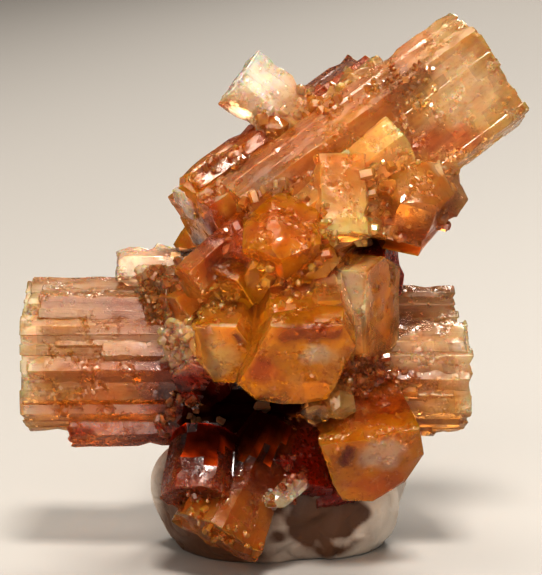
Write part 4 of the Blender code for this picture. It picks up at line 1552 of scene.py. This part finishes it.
    def paint(self, mesh: bpy.types.Mesh) -> None:
        """Write the tint, the lengthwise grain, the flank mask and the finishes on the mesh.

        Args:
            mesh: The joined crystals, with their materials.
        """
        faces, corners = len(mesh.polygons), len(mesh.loops)
        owner = np.zeros(faces, dtype=np.int32)
        part = np.zeros(faces, dtype=np.int32)
        mesh.attributes["owner"].data.foreach_get("value", owner)
        mesh.attributes["part"].data.foreach_get("value", part)
        sizes = np.zeros(faces, dtype=np.int32)
        mesh.polygons.foreach_get("loop_total", sizes)
        place = np.zeros(len(mesh.vertices) * 3)
        mesh.vertices.foreach_get("co", place)
        index = np.zeros(corners, dtype=np.int32)
        mesh.loops.foreach_get("vertex_index", index)
        points = place.reshape(-1, 3)[index] / MM
        owner = np.repeat(owner, sizes)
        part = np.repeat(part, sizes)
        local = self.field.local(points, owner)
        around = np.arctan2(local[:, 1], local[:, 0])
        girth = np.array([crystal.radius() for crystal in self.crystals])[owner]
        grain = np.stack([around * girth, local[:, 2], 3.7 * owner], axis=1)
        end = part == Part.END
        grain[end] = np.stack([local[:, 0], local[:, 1], 3.7 * owner], axis=1)[end]
        colour = self.tint(points, owner, -local[:, 2])
        crust = part == Part.CRUST
        shade = 0.95 + 0.35 * ripple(points, 1.1, 91)
        warm = (1.0 - self.crust_share) * colour + self.crust_share * np.array(CRUST_TINT)
        warm = warm * shade[:, None]
        colour = np.where(crust[:, None], np.clip(warm, 0.0, 1.0), colour)
        first = np.cumsum(sizes) - sizes
        look = self.looks(points, owner, crust)[first]
        mesh.polygons.foreach_set("material_index", look.astype(np.int32))
        self.write(mesh, "tint", "FLOAT_COLOR", "color",
                   np.column_stack([colour, np.ones(corners)]))
        self.write(mesh, "grain", "FLOAT_VECTOR", "vector", grain)
        streaks = np.array([crystal.habit.value.streaks for crystal in self.crystals])
        flank = np.where(part == Part.FLANK, streaks[owner], 0.0)
        self.write(mesh, "flank", "FLOAT", "value", flank)

    @staticmethod
    def write(mesh: bpy.types.Mesh, name: str, kind: str, label: str, values: Array) -> None:
        """Write one attribute on the corners of a mesh."""
        mesh.attributes.new(name, kind, "CORNER")
        mesh.attributes[name].data.foreach_set(label, np.ascontiguousarray(values).ravel())

    def build(self, finishes: tuple[CrystalFinish, ...], groups: dict) -> bpy.types.Object:
        """Make the finished piece.

        Args:
            finishes: The crystals' finishes in the order of Look.
            groups: The shared node groups by name.

        Returns:
            The piece, riding on the part's body in place of its plain solid.
        """
        mesh = self.joined()
        mesh.name = "aragonite_crystals"
        mesh.materials.clear()
        for finish in finishes:
            mesh.materials.append(finish.material(groups))
        self.paint(mesh)
        mesh.shade_smooth()
        mesh.set_sharp_from_angle(angle=math.radians(EDGE_TURN))
        return place_piece("aragonite_crystals", mesh, "aragonite_cluster")


def small_shell(corners: Array) -> Shell:
    """Close three rings of six corners into a small crystal whose faces are marked as crust.

    Args:
        corners: The 18 corners, ring by ring, root first.

    Returns:
        The closed shell.
    """
    here = np.arange(6)
    after = (here + 1) % 6
    ring = np.array([[0], [6]])
    quads = np.stack([ring + here, ring + after, ring + 6 + after, ring + 6 + here],
                     axis=-1).reshape(-1, 4)
    faces = quads.tolist() + [[12, 13, 14, 15, 16, 17], [5, 4, 3, 2, 1, 0]]
    return Shell(corners, faces, [Part.CRUST] * len(faces))


def keep_largest(mesh: bpy.types.Mesh) -> bpy.types.Mesh:
    """Delete every loose body of a mesh but the one with the most points.

    Labels spread along the edges, each point taking its neighbours' lowest, until they rest.

    Args:
        mesh: The mesh to clean.

    Returns:
        The same mesh.
    """
    count = len(mesh.vertices)
    edges = np.zeros(len(mesh.edges) * 2, dtype=np.int32)
    mesh.edges.foreach_get("vertices", edges)
    edges = edges.reshape(-1, 2)
    label = np.arange(count)
    while True:
        low = np.minimum(label[edges[:, 0]], label[edges[:, 1]])
        after = label.copy()
        np.minimum.at(after, edges[:, 0], low)
        np.minimum.at(after, edges[:, 1], low)
        after = after[after]
        if np.array_equal(after, label):
            break
        label = after
    kinds, sizes = np.unique(label, return_counts=True)
    loose = np.flatnonzero(label != kinds[sizes.argmax()])
    if len(loose):
        shell = bmesh.new()
        shell.from_mesh(mesh)
        shell.verts.ensure_lookup_table()
        bmesh.ops.delete(shell, geom=[shell.verts[index] for index in loose], context="VERTS")
        shell.to_mesh(mesh)
        shell.free()
    return mesh


def place_piece(name: str, mesh: bpy.types.Mesh, node: str = "") -> bpy.types.Object:
    """Put a mesh in the scene as a piece of the part.

    Args:
        name: The piece's name.
        mesh: Its mesh, already in place.
        node: The solid that it stands for, if any.

    Returns:
        The piece.
    """
    piece = bpy.data.objects.new(name, mesh)
    bpy.context.scene.collection.objects.link(piece)
    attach(piece, "root")
    if node:
        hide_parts(node)
    LOG.info("%s: %d faces", name, len(mesh.polygons))
    return piece


@dataclass
class Putty:
    """The lump that the lowest crystals are pressed into, flat where it stands.

    Middle and belly are its middle and half widths, and the heights those of its widest place
    and its top, in mm. Fullness below 1 squares its shoulders, and cut is the share of its lower
    half that is left above the flat foot. Dent and fold are how deep its dents and folds go.
    """

    middle: tuple[float, float] = (0.6, 2.6)
    belly: tuple[float, float] = (13.0, 10.2)
    belly_height: float = 6.2
    top_height: float = 11.4
    fullness: float = 0.55
    cut: float = 0.72
    dent: float = 0.7
    fold: float = 0.18
    turns: int = 220
    rises: int = 110
    # A painted shadow on the putty under the front crystals
    shadow: Stain = Stain((5.6, -8.0, 4.4), (5.6, 6.0, 4.0), BROWN)

    def points(self) -> Array:
        """Lay out the lump: a sphere grid with full shoulders, dents, folds and a flat foot.

        The width goes with a power of the rise angle's sine and wobbles round the axis. Smooth
        noise presses the dents in, and the folds run where other noise passes through zero.

        Returns:
            The grid's points, then the top and the foot, in mm.
        """
        rise, turn = globe_angles(self.turns, self.rises)
        spread = np.sin(rise) ** self.fullness * np.ones_like(turn)
        height = np.cos(rise) * np.ones_like(turn)
        wobble = 1.0 + 0.035 * np.sin(3.0 * turn + 0.7) + 0.02 * np.sin(5.0 * turn + height)
        lift = np.where(height > 0.0, self.top_height - self.belly_height,
                        self.belly_height / self.cut)
        grid = np.stack([self.middle[0] + self.belly[0] * np.cos(turn) * spread * wobble,
                         self.middle[1] + self.belly[1] * np.sin(turn) * spread * wobble,
                         self.belly_height + lift * height], axis=-1)
        dents = smoothstep(ripple(grid, 9.0, 81), 0.1, 0.9) * self.dent
        folds = np.abs(ripple(grid * np.array([1.0, 1.0, 1.8]), 5.0, 82))
        inward = dents + self.fold * (1.0 - smoothstep(folds, 0.0, 0.16))
        way = grid - np.array([*self.middle, self.belly_height])
        way /= np.linalg.norm(way, axis=-1, keepdims=True)
        grid = grid - way * inward[..., None]
        grid[..., 2] = np.maximum(grid[..., 2], 0.0)
        poles = [[*self.middle, self.top_height - 0.3], [*self.middle, 0.0]]
        return np.vstack([grid.reshape(-1, 3), poles])

    def painted_shade_and_patches(self, points: Array, crystals: Field) -> Array:
        """Painted shade on the putty: near the crystals, at its left front, low down and in a
        painted shadow.

        Args:
            points: Positions in mm.
            crystals: The crystals, near which the putty takes painted shade.

        Returns:
            The share of painted shade at each point.
        """
        # Painted shade: darker near the crystals, at the left front, low down and in a painted
        # shadow
        room = np.maximum(crystals.clearance(points).min(axis=1) + 0.5 * ripple(points, 4.0, 83),
                          0.0)
        left = smoothstep(-points[:, 0], 0.0, 8.0) * smoothstep(-points[:, 1], -4.0, 2.0)
        under = 1.0 - smoothstep(points[:, 2], 0.5, 4.0)
        under *= 1.0 - smoothstep(points[:, 0], 5.0, 11.0)
        shadow = self.shadow.share(points)
        return np.clip(np.exp(-room / 1.8) + 0.85 * left + 0.8 * shadow + 0.5 * under, 0.0, 1.0)

    def build(self, finish: PuttyFinish, groups: dict, crystals: Field) -> bpy.types.Object:
        """Make the finished piece.

        Args:
            finish: The putty's finish.
            groups: The shared node groups by name.
            crystals: The crystals, near which the putty takes painted shade.

        Returns:
            The piece, riding on the part's body in place of its plain solid.
        """
        points = self.points()
        faces = globe_faces(self.turns, self.rises)
        mesh = Shell(points, faces, [Part.FLANK] * len(faces)).mesh("putty_lump", 0)
        mesh.attributes.new("painted_shade", "FLOAT", "POINT")
        mesh.attributes["painted_shade"].data.foreach_set("value", self.painted_shade_and_patches(points, crystals))
        mesh.shade_smooth()
        mesh.materials.append(finish.material(groups))
        return place_piece("putty_lump", mesh, "mounting_putty")


@dataclass
class Studio:
    """Pale floor, painted shade darkening it far behind and to the left, soft lights, camera."""

    floor_radius: float = 3.0
    floor_drop: float = 0.00005
    floor_near: Colour = (0.31, 0.295, 0.28)
    floor_far_painted_shade: Colour = (0.15, 0.14, 0.13)
    world_low: Colour = (0.40, 0.37, 0.34)
    world_high: Colour = (1.0, 0.94, 0.86)
    world_strength: float = 0.4

    def floor(self) -> None:
        """Lay a round pale floor just under the part, darker by painted shade far back and left."""
        turn = np.linspace(0.0, 2.0 * np.pi, 96, endpoint=False)
        points = np.stack([np.cos(turn), np.sin(turn), 0.0 * turn], axis=1) * self.floor_radius
        points[:, 2] = -self.floor_drop
        mesh = bpy.data.meshes.new("studio_floor")
        mesh.from_pydata(points.tolist(), [], [list(range(len(turn)))])
        material, web, shader = new_material("floor_paper")
        place = web.add("ShaderNodeSeparateXYZ", {
            0: web.add("ShaderNodeTexCoord").outputs["Object"]})
        # Painted shade: the floor's colour darkens far behind and to the left
        far = web.math("MULTIPLY_ADD", place.outputs[0], -5.0, place.outputs[1])
        colour = web.mix(web.ramp(far, 0.6, 2.4), (*self.floor_near, 1.0), (*self.floor_far_painted_shade, 1.0))
        web.tree.links.new(colour, shader.inputs["Base Color"])
        set_sockets(shader, {"Roughness": 0.7})
        mesh.materials.append(material)
        item = bpy.data.objects.new("studio_floor", mesh)
        bpy.context.scene.collection.objects.link(item)
        item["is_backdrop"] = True

    def lamp(self, name: str, place: Point, aim: Point, size: float, power: float,
             colour: Colour = (1.0, 0.96, 0.9)) -> None:
        """Hang a square soft light.

        Args:
            name: The light's name.
            place: Where it hangs, in metres.
            aim: The point that it faces.
            size: Its width in metres.
            power: Its power in watts.
            colour: Its linear colour.
        """
        light = bpy.data.lights.new(name, "AREA")
        light.size = size
        light.energy = power
        light.color = colour
        item = bpy.data.objects.new(name, light)
        item.location = place
        item.rotation_euler = (Vector(aim) - Vector(place)).to_track_quat("-Z", "Y").to_euler()
        bpy.context.scene.collection.objects.link(item)

    def surroundings(self) -> None:
        """Set a soft world, brighter above than below."""
        world = bpy.data.worlds.new("surroundings")
        world.use_nodes = True
        web = Web(world.node_tree)
        shade = world.node_tree.nodes["Background"]
        way = web.add("ShaderNodeTexCoord").outputs["Generated"]
        height = web.add("ShaderNodeSeparateXYZ", {0: way}).outputs[2]
        colour = web.mix(web.ramp(height, -0.1, 0.9), (*self.world_low, 1.0),
                         (*self.world_high, 1.0))
        world.node_tree.links.new(colour, shade.inputs["Color"])
        shade.inputs["Strength"].default_value = self.world_strength
        bpy.context.scene.world = world

    def camera(self) -> None:
        """Stand the camera in front of the part, looking a little down."""
        data = bpy.data.cameras.new("camera")
        data.lens = CAMERA_LENS
        data.sensor_width = SENSOR_WIDTH
        data.clip_start = 0.01
        camera = bpy.data.objects.new("camera", data)
        tilt = math.radians(CAMERA_TILT)
        back = Vector((0.0, -math.cos(tilt), math.sin(tilt)))
        camera.location = Vector(CAMERA_FOCUS) + back * CAMERA_DISTANCE
        camera.rotation_euler = (math.radians(90.0) - tilt, 0.0, 0.0)
        bpy.context.scene.collection.objects.link(camera)
        bpy.context.scene.camera = camera

    def build(self) -> None:
        """Set the floor, the lights, the surroundings, the camera and the picture's contrast."""
        self.floor()
        middle = (0.0, 0.0, 0.025)
        self.lamp("key", (0.05, -0.50, 0.85), middle, 0.20, 12.0)
        self.lamp("front", (-0.25, -1.10, 0.35), middle, 1.00, 16.0)
        self.lamp("top", (-0.25, 0.15, 1.10), middle, 0.60, 5.0)
        self.lamp("rear", (0.45, 1.50, 1.10), (0.0, 0.4, 0.0), 0.60, 20.0)
        self.surroundings()
        self.camera()
        look = bpy.context.scene.view_settings
        look.view_transform = "Standard"
        look.gamma = VIEW_GAMMA
        look.exposure = VIEW_EXPOSURE
        LOG.info("studio: floor, 4 lights, surroundings and camera")


def main() -> None:
    """Build the part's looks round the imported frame."""
    logging.basicConfig(level=logging.INFO, format="%(name)s: %(message)s")
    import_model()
    solid_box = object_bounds()
    groups = {"streaks": streak_group(), "mottle": mottle_group(), "grain": grain_group()}
    Studio().build()
    low, high = (np.array(corner) / MM for corner in solid_box)
    cluster = Cluster(room=(low + BOX_MARGIN, high - BOX_MARGIN))
    cluster.build(FINISHES, groups)
    Putty().build(PuttyFinish(), groups, cluster.field)


if __name__ == "__main__":
    main()
